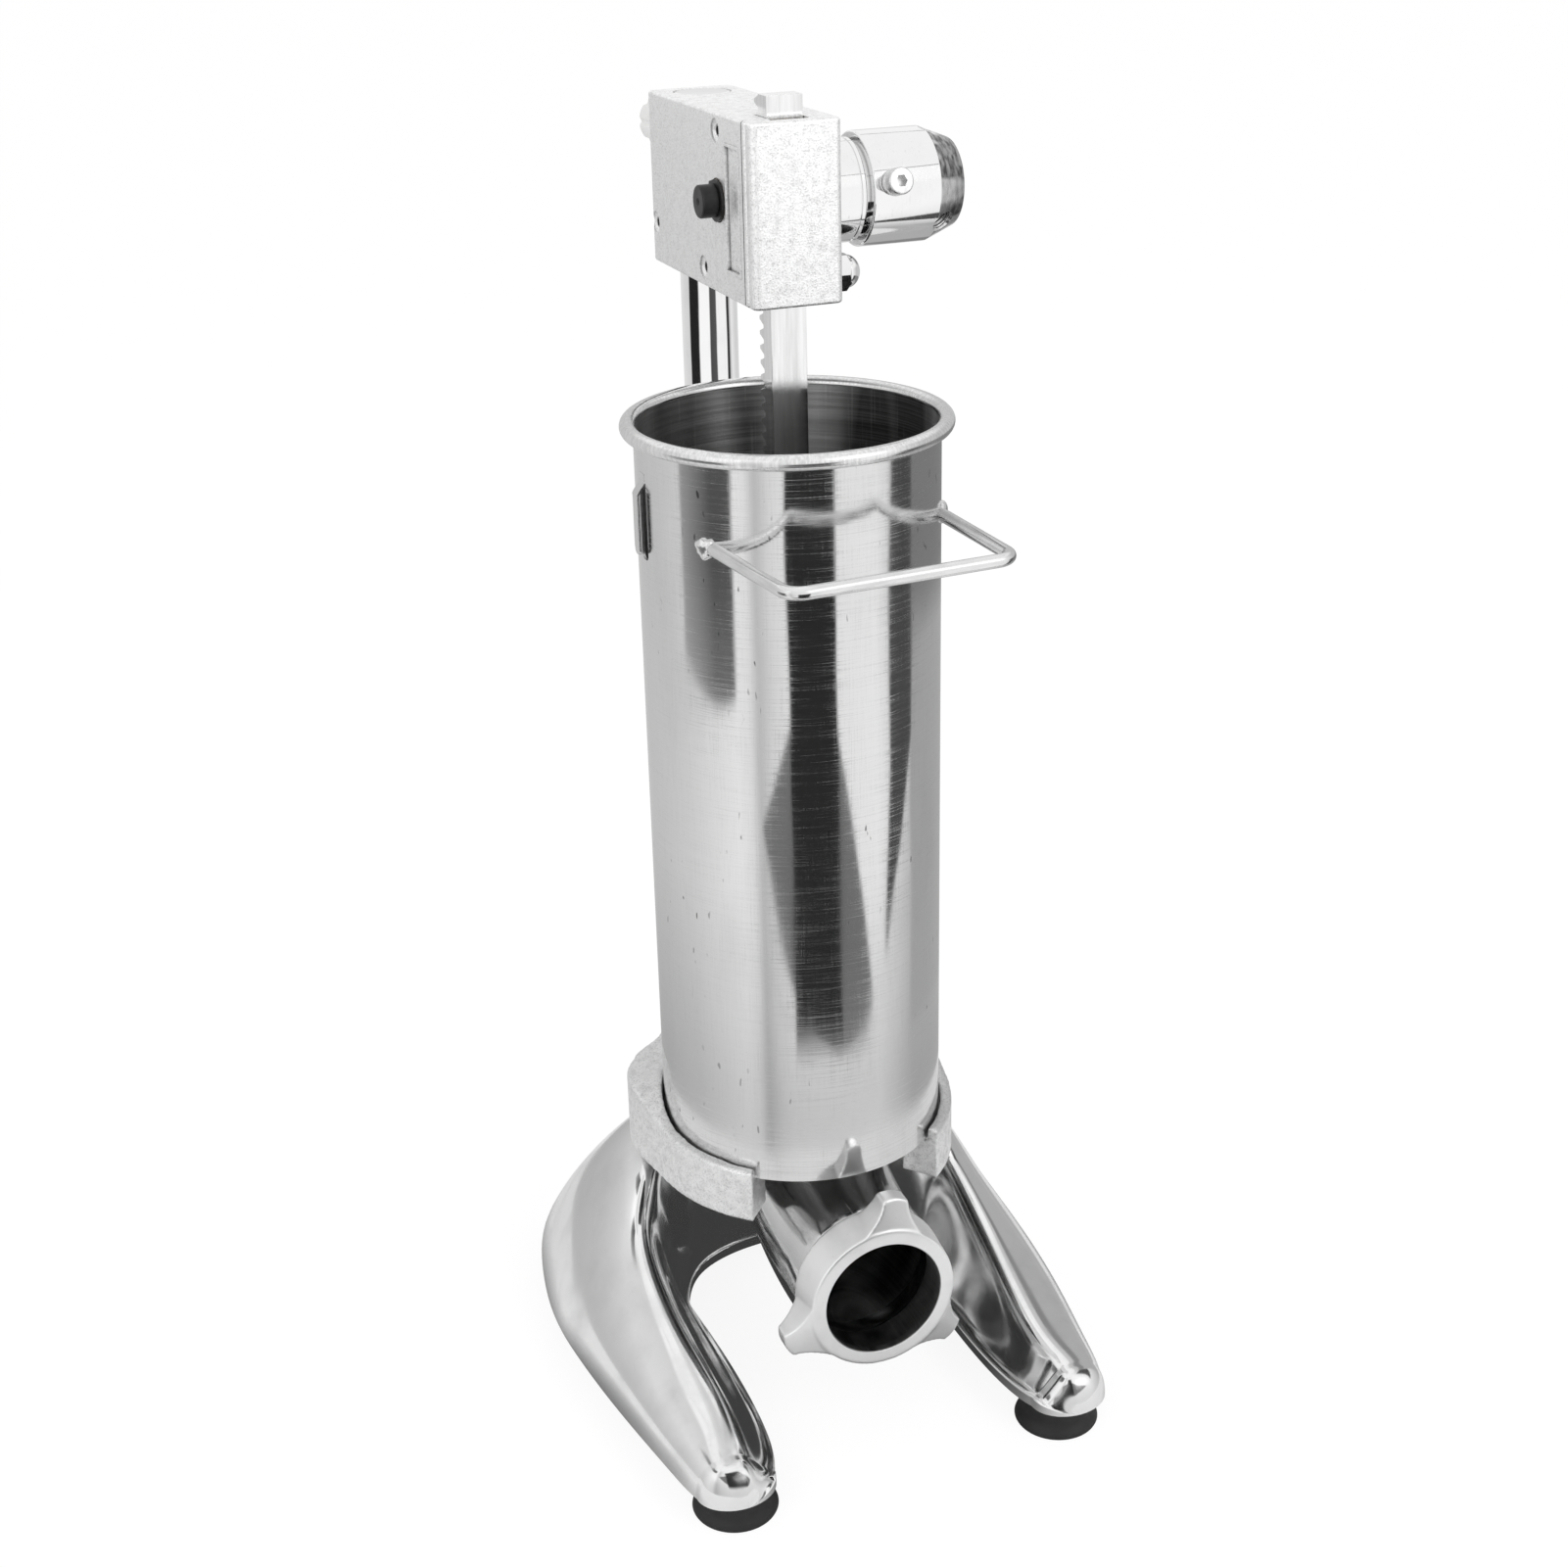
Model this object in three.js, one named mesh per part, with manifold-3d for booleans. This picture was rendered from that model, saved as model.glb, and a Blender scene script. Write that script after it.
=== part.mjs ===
// Lever churro machine, built in millimetres with +Z up. The outlet points to -Y and the crank hub is on +X.
// A dough cylinder stands in a cast cradle on a horseshoe base. A post behind it carries the gear head,
// whose pinion drives a toothed rack and the piston on its lower end. Pieces are placed about the
// cylinder's axis, and the last lines move that axis so that the origin is the middle of the footprint.
import * as THREE from "three";
import { mergeVertices } from "three/addons/utils/BufferGeometryUtils.js";
import Module from "manifold-3d";

const wasm = await Module();
wasm.setup();

// Flat sides around one full turn, and steps along curves
const cylinderSides = 48;
const largeSides = 26;
const middleSides = 16;
const smallSides = 8;
const hexagonSides = 6;
const arcSteps = 4;
const bendSteps = 6;

// Clearances
const seatGap = 0.3;
const runningGap = 0.3;
const cutOverrun = 2;
const weldTolerance = 0.001;

// Rubber feet
const footHeight = 12.7;
const footRadius = 17.1;
const footTopRadius = 14;
const footLipHeight = 2.2;
const footScrewRadius = 2.5;
const footScrewHeadRadius = 5.5;
const footScrewHeadHeight = 3.2;
const footScrewGrip = 12;
const footBossRadius = 14;

// Horseshoe base casting
const baseHalfWidth = 106.2;
const baseFrontReach = 119.5;
const baseRearReach = 137;
const baseHeight = 77.2;
const baseWall = 5;
const baseLip = 4;
const frontFootShares = [0.663, 0.845];
const rearFootShares = [0.518, 0.693];

// Cradle casting
const ledgeThickness = 17.2;
const ledgeWidth = 11;
const cradleClearance = 0.8;
const cradleRearHeight = 32.3;
const cradleFillet = 3;
const bossRadius = 23;
const cradleBoltRadius = 3;
const cradleBoltHeadRadius = 5;
const cradleBoltHeadHeight = 5;
const cradleBoltGrip = 11;
const cradleBoltOffset = 8.5;

// Post
const postRadius = 11.1;
const postStandOff = 25.2;
const postSeatFloor = 4.8;
const postScrewRadius = 5;
const postScrewHeadRadius = 8;
const postScrewHeadHeight = 6;
const postScrewGrip = 20;
const edgeChamfer = 0.8;

// Dough cylinder
const cylinderRadius = 57.5;
const cylinderWall = 1;
const cylinderHeight = 298;
const rimRollRadius = 3;
const floorThickness = 2;

// Hook tongue pressed out of the cylinder's side
const hookWidth = 8;
const hookLength = 30;
const hookStandOff = 3;
const hookThickness = 1.2;
const hookBelowRim = 21;
const hookSlotMargin = 1.2;

// Carry handle of bent wire
const wireRadius = 2.5;
const handleBelowRim = 36.5;
const handleHalfWidth = 45.5;
const handleStandOff = 36;
const handleCorner = 7;
const handleWeldAngle = 54;

// Outlet elbow
const elbowRadius = 31;
const elbowWall = 2;
const elbowReach = 58;
const elbowDrop = 38.6;
const elbowCollar = 1.7;
const elbowFlare = 4;
const elbowStraight = 11.5;
const spigotRadius = 28.5;
const spigotWall = 2.5;
const spigotLength = 12.5;

// Three-lobed ring nut
const nutLength = 16.4;
const nutBackRadius = 31.9;
const nutFrontRadius = 30.5;
const nutMouthRadius = 24.5;
const nutLipThickness = 3.4;
const nutLobes = 3;
const nutLobeAngle = 80;
const lobeTipRadius = 43;
const lobeTipWidth = 11;
const lobeRootWidth = 26;
const lobeTipThickness = 6;
const lobeSlope = 4.8;

// Gear head
const headRise = 41.8;
const headHeight = 65;
const headWidth = 34.8;
const headRearWall = 4.2;
const headCorner = 3;
const headBevel = 1;
const coverThickness = 6;
const padThickness = 4.8;
const padEndMargin = 3;
const labelHeight = 44;
const labelWidth = 13;
const labelDepth = 0.6;
const labelY = 4.5;
const plugScrewRadius = 2.6;
const plugScrewLength = 7;
const plugScrewRecess = 1.2;

// Rack and pinion
const toothModule = 1.75;
const pinionTeeth = 16;
const pressureAngle = 20;
const toothPlay = 0.5;
const toothDepthShare = 2.25;
const pinionTipShare = 0.95;
const rackWidth = 14;
const rackCoreDepth = 8;
const rackAboveHead = 7.6;
const rackPlainEnd = 38;
const rackStudRadius = 5;
const pinionRise = 34.1;
const pinionWidth = 14;
const keyWidth = 4;

// Pinion shaft, bushes and clip
const shaftRadius = 6;
const shaftLeftReach = 25;
const shaftHubDepth = 40;
const shaftGroove = 0.9;
const bushWall = 1.4;
const clipThickness = 1;
const clipWidth = 2.6;
const clipOpening = 60;

// Crank hub
const hubNeckRadius = 19;
const hubNeckLength = 16;
const hubGrooveWidth = 2;
const hubGrooveDepth = 1.4;
const hubRadius = 21;
const hubBodyLength = 27;
const hubTaperLength = 11.5;
const hubEndRadius = 16.5;
const spokeHoles = 3;
const spokeHoleRadius = 4;
const spokeHoleDepth = 12;
const spokeHoleInset = 3;
const spokeHoleAngle = -45;
const hubScrewAngle = 12.5;
const hubScrewInset = 8;
const hubScrewRadius = 2.5;
const hubScrewHeadRadius = 4.4;
const hubScrewHeadHeight = 6.6;

// Rack guide screw with its dome nut
const guideScrewRadius = 3.9;
const guideScrewRise = 8.2;
const domeNutFlats = 13;
const domeNutHexLength = 6.3;
const domeNutLength = 11.7;

// Head clamp knob
const knobBelowTop = 15.8;
const knobScrewRadius = 4;
const knobRadius = 10.5;
const knobLength = 22;
const knobNeckRadius = 7;
const knobNeckLength = 4;
const knobScrewFree = 12;
const knobFlutes = 8;
const knobFluteDepth = 1.3;
const knobFluteRadius = 3.2;

// Piston
const pistonThickness = 14;
const pistonFloorGap = 2;
const pistonFit = 1;
const sealHeight = 5;
const sealDepth = 4;
const washerRadius = 11;
const washerThickness = 1.6;
const pistonNutFlats = 17;
const pistonNutHeight = 6;

// Heights and places that follow from the sizes above
const baseBottom = footHeight + seatGap;
const baseTop = baseBottom + baseHeight;
const cradleBottom = baseTop + seatGap;
const ledgeTop = cradleBottom + ledgeThickness;
const cradleTop = ledgeTop + cradleRearHeight;
const cylinderBottom = ledgeTop + seatGap;
const cylinderTop = cylinderBottom + cylinderHeight;
const cylinderBore = cylinderRadius - cylinderWall;
const elbowTop = cylinderBottom - seatGap;
const elbowBore = elbowRadius - elbowWall;
const outletZ = elbowTop - elbowCollar - elbowDrop;
const elbowEndY = -(elbowReach + elbowStraight);
const nutBackY = elbowEndY - seatGap;
const nutFrontY = nutBackY - nutLength;
const cradleBoltCircle = cylinderRadius + cradleBoltOffset;
const postY = cylinderRadius + postStandOff;
const headBottom = cylinderTop + headRise;
const headTop = headBottom + headHeight;
const headHalfWidth = headWidth / 2;
const rackFrontY = -rackCoreDepth / 2;
const toothDepth = toothDepthShare * toothModule;
const rackBackY = -rackFrontY + toothDepth;
const pitchLineY = rackBackY - toothModule;
const pinionRadius = (toothModule * pinionTeeth) / 2;
const pinionY = pitchLineY + pinionRadius;
const pinionZ = headBottom + pinionRise;
const housingFrontY = rackFrontY - runningGap - padThickness;
const coverBackY = housingFrontY - seatGap;
const coverFrontY = coverBackY - coverThickness;
const postBore = postRadius + seatGap;
const headBackY = postY + postBore + headRearWall;
const pistonBottom = cylinderBottom + floorThickness + pistonFloorGap;
const pistonTop = pistonBottom + pistonThickness;
const rackBottom = pistonTop + seatGap;
const hubStartX = headHalfWidth + runningGap;
const hubBodyX = hubStartX + hubNeckLength + hubGrooveWidth;
const hubTaperX = hubBodyX + hubBodyLength;
const hubEndX = hubTaperX + hubTaperLength;
const hubScrewX = hubBodyX + hubScrewInset;

const footX = frontFootShares[0] * baseHalfWidth;
const footFrontY = -frontFootShares[1] * baseFrontReach;
const rearFootX = rearFootShares[0] * baseHalfWidth;
const rearFootY = rearFootShares[1] * baseRearReach;

// Finishes as seen on the machine
const finishes = {
  polishedCasting: { color: 0xc9cbcd, roughness: 0.14, metalness: 1 },
  blastedCasting: { color: 0xcdcecf, roughness: 0.55, metalness: 1 },
  mirrorSteel: { color: 0xd6d7d8, roughness: 0.08, metalness: 1 },
  satinSteel: { color: 0xb9babb, roughness: 0.3, metalness: 1 },
  chrome: { color: 0xdcdddf, roughness: 0.06, metalness: 1 },
  blackOxide: { color: 0x1e1e1f, roughness: 0.45, metalness: 0.8 },
  bronze: { color: 0xb08a4e, roughness: 0.35, metalness: 1 },
  blackRubber: { color: 0x161616, roughness: 0.8, metalness: 0 },
  paleSeal: { color: 0xdedcd5, roughness: 0.6, metalness: 0 },
  paleKnob: { color: 0xe9e9e6, roughness: 0.4, metalness: 0 },
};

// Geometry helpers

// Turns a closed geometry's faces round if they point inwards.
function outward(geometry) {
  const flat = geometry.index ? geometry.toNonIndexed() : geometry;
  const place = flat.getAttribute("position");
  const [a, b, c] = [0, 1, 2].map(() => new THREE.Vector3());
  let volume = 0;
  for (let corner = 0; corner < place.count; corner += 3) {
    a.fromBufferAttribute(place, corner);
    b.fromBufferAttribute(place, corner + 1);
    c.fromBufferAttribute(place, corner + 2);
    volume += a.dot(b.cross(c));
  }
  if (volume >= 0) return flat;
  const turnedRound = new Float32Array(place.array.length);
  for (let corner = 0; corner < place.count; corner += 3) {
    [0, 2, 1].forEach((from, to) => {
      for (let axis = 0; axis < 3; axis += 1) {
        turnedRound[3 * (corner + to) + axis] = place.array[3 * (corner + from) + axis];
      }
    });
  }
  return new THREE.BufferGeometry().setAttribute("position", new THREE.BufferAttribute(turnedRound, 3));
}

function solidOf(geometry) {
  const corners = outward(geometry).getAttribute("position");
  const merged = mergeVertices(new THREE.BufferGeometry().setAttribute("position", corners), weldTolerance);
  const mesh = new wasm.Mesh({
    numProp: 3,
    vertProperties: merged.getAttribute("position").array,
    triVerts: new Uint32Array(merged.index.array),
  });
  return new wasm.Manifold(mesh);
}

function geometryOf(solid) {
  const mesh = solid.getMesh();
  const geometry = new THREE.BufferGeometry();
  geometry.setAttribute("position", new THREE.BufferAttribute(new Float32Array(mesh.vertProperties), 3));
  geometry.setIndex(new THREE.BufferAttribute(new Uint32Array(mesh.triVerts), 1));
  return geometry;
}

function joined(first, ...others) {
  return geometryOf(others.reduce((sum, other) => sum.add(solidOf(other)), solidOf(first)));
}

function cutBy(body, ...tools) {
  return geometryOf(tools.reduce((rest, tool) => rest.subtract(solidOf(tool)), solidOf(body)));
}

function sharedBy(first, second) {
  return geometryOf(solidOf(first).intersect(solidOf(second)));
}

const radians = (degrees) => THREE.MathUtils.degToRad(degrees);

// A profile of [radius, height] pairs turned about Z. It starts and ends on the axis, or closes on itself.
function turned(profile, sides) {
  const touchesAxis = profile[0][0] === 0;
  const points = (touchesAxis ? profile : [...profile, profile[0]]).map((pair) => new THREE.Vector2(...pair));
  return new THREE.LatheGeometry(points, sides).rotateX(Math.PI / 2);
}

// An upright round bar between two heights.
function bar(radius, low, high, sides = smallSides) {
  return turned([[0, low], [radius, low], [radius, high], [0, high]], sides);
}

// An upright bar with flats, such as a nut's body, measured across the flats.
function hexagonBar(flats, low, high) {
  return bar(flats / 2 / Math.cos(Math.PI / hexagonSides), low, high, hexagonSides);
}

// Lays what was built along Z onto +X: its own x and y become the world's y and z.
function alongX(geometry) {
  const turn = new THREE.Matrix4().makeBasis(
    new THREE.Vector3(0, 1, 0),
    new THREE.Vector3(0, 0, 1),
    new THREE.Vector3(1, 0, 0),
  );
  return geometry.applyMatrix4(turn);
}

// Lays what was built along Z onto -Y: its own x and y become the world's x and z.
function alongFront(geometry) {
  return geometry.rotateX(Math.PI / 2);
}

// Lays what was built along Z onto +Y.
function alongBack(geometry) {
  return geometry.rotateX(-Math.PI / 2);
}

function block(lowX, highX, lowY, highY, lowZ, highZ) {
  const box = new THREE.BoxGeometry(highX - lowX, highY - lowY, highZ - lowZ);
  return box.translate((lowX + highX) / 2, (lowY + highY) / 2, (lowZ + highZ) / 2);
}

// A closed skin through rings of as many points each, with its two ends filled.
function loft(rings) {
  const count = rings[0].length;
  const corners = [];
  const face = (...points) => points.forEach((point) => corners.push(point.x, point.y, point.z));
  for (let ring = 0; ring + 1 < rings.length; ring += 1) {
    for (let side = 0; side < count; side += 1) {
      const next = (side + 1) % count;
      face(rings[ring][side], rings[ring][next], rings[ring + 1][next]);
      face(rings[ring][side], rings[ring + 1][next], rings[ring + 1][side]);
    }
  }
  for (const ring of [rings[0], rings[rings.length - 1]]) {
    const outline = flattened(ring);
    for (const triangle of THREE.ShapeUtils.triangulateShape(outline, [])) {
      const anticlockwise = THREE.ShapeUtils.area(triangle.map((corner) => outline[corner])) > 0;
      const isLast = ring !== rings[0];
      const order = anticlockwise === isLast ? triangle : [...triangle].reverse();
      face(...order.map((corner) => ring[corner]));
    }
  }
  return new THREE.BufferGeometry().setAttribute("position", new THREE.Float32BufferAttribute(corners, 3));
}

// The points of a flat ring in its own plane, for filling it with triangles.
function flattened(ring) {
  const across = ring[1].clone().sub(ring[0]).normalize();
  const normal = new THREE.Vector3();
  ring.forEach((point, index) => {
    const next = ring[(index + 1) % ring.length];
    normal.add(point.clone().sub(ring[0]).cross(next.clone().sub(ring[0])));
  });
  const upward = normal.normalize().clone().cross(across);
  return ring.map((point) => {
    const arm = point.clone().sub(ring[0]);
    return new THREE.Vector2(arm.dot(across), arm.dot(upward));
  });
}

// Points along a Catmull-Rom line through rows of numbers, with the given steps between rows.
function smoothed(rows, steps) {
  const result = [];
  for (let row = 0; row + 1 < rows.length; row += 1) {
    const [before, start, end, after] = [row - 1, row, row + 1, row + 2].map(
      (place) => rows[Math.min(Math.max(place, 0), rows.length - 1)],
    );
    for (let step = 0; step < steps; step += 1) {
      const t = step / steps;
      result.push(start.map((value, column) => {
        const pull = (end[column] - before[column]) / 2;
        const push = (after[column] - value) / 2;
        const rise = end[column] - value;
        return value + pull * t + (3 * rise - 2 * pull - push) * t ** 2 + (pull + push - 2 * rise) * t ** 3;
      }));
    }
  }
  result.push(rows[rows.length - 1]);
  return result;
}

// A round bar bent along flat points that lie at one height.
function bentWire(path, height, radius, sides) {
  const rings = path.map(([x, y], index) => {
    const [beforeX, beforeY] = path[Math.max(index - 1, 0)];
    const [afterX, afterY] = path[Math.min(index + 1, path.length - 1)];
    const along = new THREE.Vector2(afterX - beforeX, afterY - beforeY).normalize();
    return Array.from({ length: sides }, (_, side) => {
      const angle = (2 * Math.PI * side) / sides;
      const out = radius * Math.cos(angle);
      return new THREE.Vector3(x + out * along.y, y - out * along.x, height + radius * Math.sin(angle));
    });
  });
  return loft(rings);
}

const socketShare = 0.55;

// A screw with a round head: its shank runs up from the head, which hangs below the given height.
function headedScrew(shankRadius, headRadius, headHeight, seat, grip) {
  const socket = socketShare * headRadius;
  return turned([
    [0, seat - headHeight / 2], [socket, seat - headHeight / 2], [socket, seat - headHeight],
    [headRadius, seat - headHeight], [headRadius, seat], [shankRadius, seat], [shankRadius, seat + grip],
    [0, seat + grip],
  ], smallSides);
}

const machine = new THREE.Group();

function addPiece(name, geometry, finish) {
  const shown = geometry.index ? geometry.toNonIndexed() : geometry;
  shown.computeVertexNormals();
  const mesh = new THREE.Mesh(shown, new THREE.MeshStandardMaterial(finishes[finish]));
  mesh.name = name;
  machine.add(mesh);
}

// Feet: front pair under the toes, rear pair under the hump
const footPlaces = {
  front_left: [-footX, footFrontY],
  front_right: [footX, footFrontY],
  rear_left: [-rearFootX, rearFootY],
  rear_right: [rearFootX, rearFootY],
};
const footScrewBore = footScrewRadius + seatGap;
const footRecessRadius = footScrewHeadRadius + 2 * seatGap;
const footScrewSeat = footHeight / 2;

function foot() {
  return turned([
    [footScrewBore, footScrewSeat], [footRecessRadius, footScrewSeat], [footRecessRadius, 0],
    [footRadius - footLipHeight / 2, 0], [footRadius, footLipHeight / 3], [footRadius, footLipHeight],
    [footTopRadius, footHeight / 2], [footTopRadius, footHeight], [footScrewBore, footHeight],
  ], middleSides);
}

function footScrew() {
  const grip = footHeight - footScrewSeat + footScrewGrip;
  const seat = footScrewSeat - seatGap;
  return headedScrew(footScrewRadius, footScrewHeadRadius, footScrewHeadHeight, seat, grip);
}

for (const [place, [x, y]] of Object.entries(footPlaces)) {
  addPiece(`foot_${place}`, foot().translate(x, y, 0), "blackRubber");
  addPiece(`foot_screw_${place}`, footScrew().translate(x, y, 0), "satinSteel");
}

// Base: cross-sections from the left toe round the back. Each runs from an outer point to an inner one.
// Columns: outer x and y, inner x and y, height, the crest's outer and inner end across the section, and the
// outer flank's lean: under 1 it stands up squarely, 1 is a quarter ellipse and 2 a straight slope.
// x follows the half width, y the front or rear reach, height the base's height.
const baseSectionShares = [
  [-0.83, -0.895, -0.527, -0.895, 0.205, 0.4, 0.5, 0.85],
  [-0.852, -0.828, -0.503, -0.845, 0.235, 0.46, 0.52, 0.85],
  [-0.88, -0.686, -0.475, -0.711, 0.275, 0.52, 0.56, 0.9],
  [-0.922, -0.477, -0.461, -0.502, 0.352, 0.5, 0.54, 1],
  [-0.965, -0.226, -0.461, -0.251, 0.45, 0.49, 0.53, 1.25],
  [-0.994, 0.022, -0.475, 0, 0.62, 0.54, 0.59, 1.6],
  [-1, 0.115, -0.478, 0.05, 0.8, 0.63, 0.68, 1.8],
  [-1, 0.24, -0.461, 0.102, 0.97, 0.68, 0.8, 1.8],
  [-0.95, 0.48, -0.395, 0.204, 1, 0.68, 0.88, 1.65],
  [-0.84, 0.755, -0.292, 0.27, 1, 0.72, 0.9, 1.65],
  [-0.6, 0.925, -0.16, 0.307, 1, 0.7, 0.92, 1.75],
  [-0.285, 0.985, -0.056, 0.318, 1, 0.5, 0.94, 1.6],
  [0, 1, 0, 0.321, 1, 0.36, 0.95, 1.5],
];
const baseSectionSteps = 2;
const baseOuterPoints = 4;
const baseInnerPoints = 5;
const noseSteps = 3;
const noseClosing = 0.35;

// One cross-section, standing on the line from its outer to its inner point.
function baseSection(row, inset, innerInset) {
  const [outerX, outerY, innerX, innerY, height, crestOuter, crestInner, lean] = row;
  const outer = new THREE.Vector2(outerX, outerY);
  const inner = new THREE.Vector2(innerX, innerY);
  const across = inner.clone().sub(outer);
  const width = across.length();
  across.normalize();
  const start = inset;
  const end = width - innerInset;
  const low = inset > 0 ? baseBottom - cutOverrun : baseBottom;
  const top = baseBottom + height - inset;
  const lip = baseBottom + baseLip - inset;
  const crestWidth = (crestInner - crestOuter) * width;
  const crestStart = Math.max(crestOuter * width, start) + Math.min(inset, crestWidth) / 2;
  const crestEnd = Math.min(crestInner * width, end - inset / 2);
  const profile = [];
  for (let step = 0; step <= baseOuterPoints; step += 1) {
    const turn = ((Math.PI / 2) * step) / baseOuterPoints;
    const along = start + (crestStart - start) * (1 - Math.cos(turn) ** lean);
    profile.push([along, low + (top - low) * Math.sin(turn) ** lean]);
  }
  for (let step = 0; step <= baseInnerPoints; step += 1) {
    const t = step / baseInnerPoints;
    const fall = (1 + Math.cos(Math.PI * t)) / 2;
    profile.push([crestEnd + (end - crestEnd) * t, Math.max(lip, low) + (top - Math.max(lip, low)) * fall]);
  }
  if (lip > low) profile.push([end, low]);
  return profile.map(([along, z]) => {
    const place = outer.clone().addScaledVector(across, along);
    return new THREE.Vector3(place.x, place.y, z);
  });
}

// The section rows in millimetres from the left toe to the right one.
function baseRows(steps) {
  const sized = smoothed(baseSectionShares, steps).map((row) => {
    const reach = (share) => share * (share < 0 ? baseFrontReach : baseRearReach);
    const [outerX, outerY, innerX, innerY, height, ...crest] = row;
    return [
      Math.max(outerX, -1) * baseHalfWidth, reach(outerY), innerX * baseHalfWidth, reach(innerY),
      Math.min(height, 1) * baseHeight, ...crest,
    ];
  });
  const mirrored = sized.slice(0, -1).reverse().map(([outerX, outerY, innerX, ...rest]) => {
    return [-outerX, outerY, -innerX, ...rest];
  });
  return [...sized, ...mirrored];
}

// A toe's round nose: its end section drawn in towards the ground as it moves forward.
function noseRings(endRow) {
  const [outerX, outerY, innerX, innerY] = endRow;
  const middle = new THREE.Vector3((outerX + innerX) / 2, (outerY + innerY) / 2, baseBottom);
  const reach = baseFrontReach + middle.y;
  const lastTurn = ((Math.PI / 2) * noseSteps) / (noseSteps + noseClosing);
  return Array.from({ length: noseSteps }, (_, step) => {
    const turn = ((Math.PI / 2) * (step + 1)) / (noseSteps + noseClosing);
    return baseSection(endRow, 0, 0).map((point) => {
      const moved = point.clone().sub(middle).multiplyScalar(Math.cos(turn)).add(middle);
      moved.y -= (reach * Math.sin(turn)) / Math.sin(lastTurn);
      return moved;
    });
  });
}

function baseOuterSolid() {
  const rows = baseRows(baseSectionSteps);
  const body = rows.map((row) => baseSection(row, 0, 0));
  return loft([...noseRings(rows[0]).reverse(), ...body, ...noseRings(rows[rows.length - 1])]);
}

// The open hollow under the casting. It stops behind the front feet, where the toes are solid.
function baseHollow() {
  const hollowEnd = footFrontY + footBossRadius;
  const rows = baseRows(1).filter((row) => row[1] > hollowEnd);
  return loft(rows.map((row) => baseSection(row, baseWall, 2 * baseWall)));
}

function cradleBoltPlaces() {
  const place = cradleBoltCircle * Math.SQRT1_2;
  return [-place, place].map((x) => [x, place]);
}

function baseCasting() {
  const outer = baseOuterSolid();
  const bosses = [-rearFootX, rearFootX].map((x) => {
    return sharedBy(outer, bar(footBossRadius, baseBottom, baseTop).translate(x, rearFootY, 0));
  });
  const screwHole = ([x, y]) => {
    const depth = footScrewGrip + 2 * seatGap;
    return bar(footScrewBore, baseBottom - cutOverrun, baseBottom + depth).translate(x, y, 0);
  };
  const through = (radius, x, y) => {
    return bar(radius, baseTop - 2 * baseWall, baseTop + cutOverrun).translate(x, y, 0);
  };
  const headPocket = (radius, x, y) => {
    return bar(radius + 2 * seatGap, baseBottom - cutOverrun, baseTop - baseWall).translate(x, y, 0);
  };
  return cutBy(
    joined(cutBy(outer, baseHollow()), ...bosses),
    ...Object.values(footPlaces).map(screwHole),
    ...cradleBoltPlaces().map(([x, y]) => through(cradleBoltRadius + seatGap, x, y)),
    ...cradleBoltPlaces().map(([x, y]) => headPocket(cradleBoltHeadRadius, x, y)),
    through(postScrewRadius + seatGap, 0, postY),
    headPocket(postScrewHeadRadius, 0, postY),
  );
}

addPiece("base_casting", baseCasting(), "polishedCasting");

// Cradle: radial sections round the cylinder, from the back to the arm's tip.
// Columns: angle from the back in degrees, outer radius over the cylinder's, top over the rear height.
const cradleSectionShares = [
  [0, 1.43, 1], [15, 1.39, 1], [26, 1.29, 1], [38, 1.245, 1], [50, 1.276, 1], [61, 1.289, 0.98],
  [70, 1.245, 0.93], [80, 1.17, 0.78], [88, 1.125, 0.61], [96, 1.105, 0.43], [106, 1.098, 0.32],
  [118, 1.096, 0.23], [130, 1.096, 0.16], [140, 1.096, 0.12],
];
const cradleSteps = 1;
const roundCornerShare = 0.3;
const cradleBore = cylinderRadius + cradleClearance;
const ledgeInnerRadius = cradleBore - ledgeWidth;

function cradleSection([angle, radiusShare, topShare]) {
  const outer = radiusShare * cylinderRadius;
  const top = ledgeTop + topShare * cradleRearHeight;
  const round = Math.min(cradleFillet, (outer - cradleBore) / 2);
  const corner = roundCornerShare * round;
  const profile = [
    [ledgeInnerRadius, cradleBottom], [outer - round / 2, cradleBottom], [outer, cradleBottom + round / 2],
    [outer, top - round], [outer - corner, top - corner], [outer - round, top],
    [cradleBore, top], [cradleBore, ledgeTop], [ledgeInnerRadius, ledgeTop],
  ];
  const turn = radians(angle);
  return profile.map(([radius, z]) => new THREE.Vector3(radius * Math.sin(turn), radius * Math.cos(turn), z));
}

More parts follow.
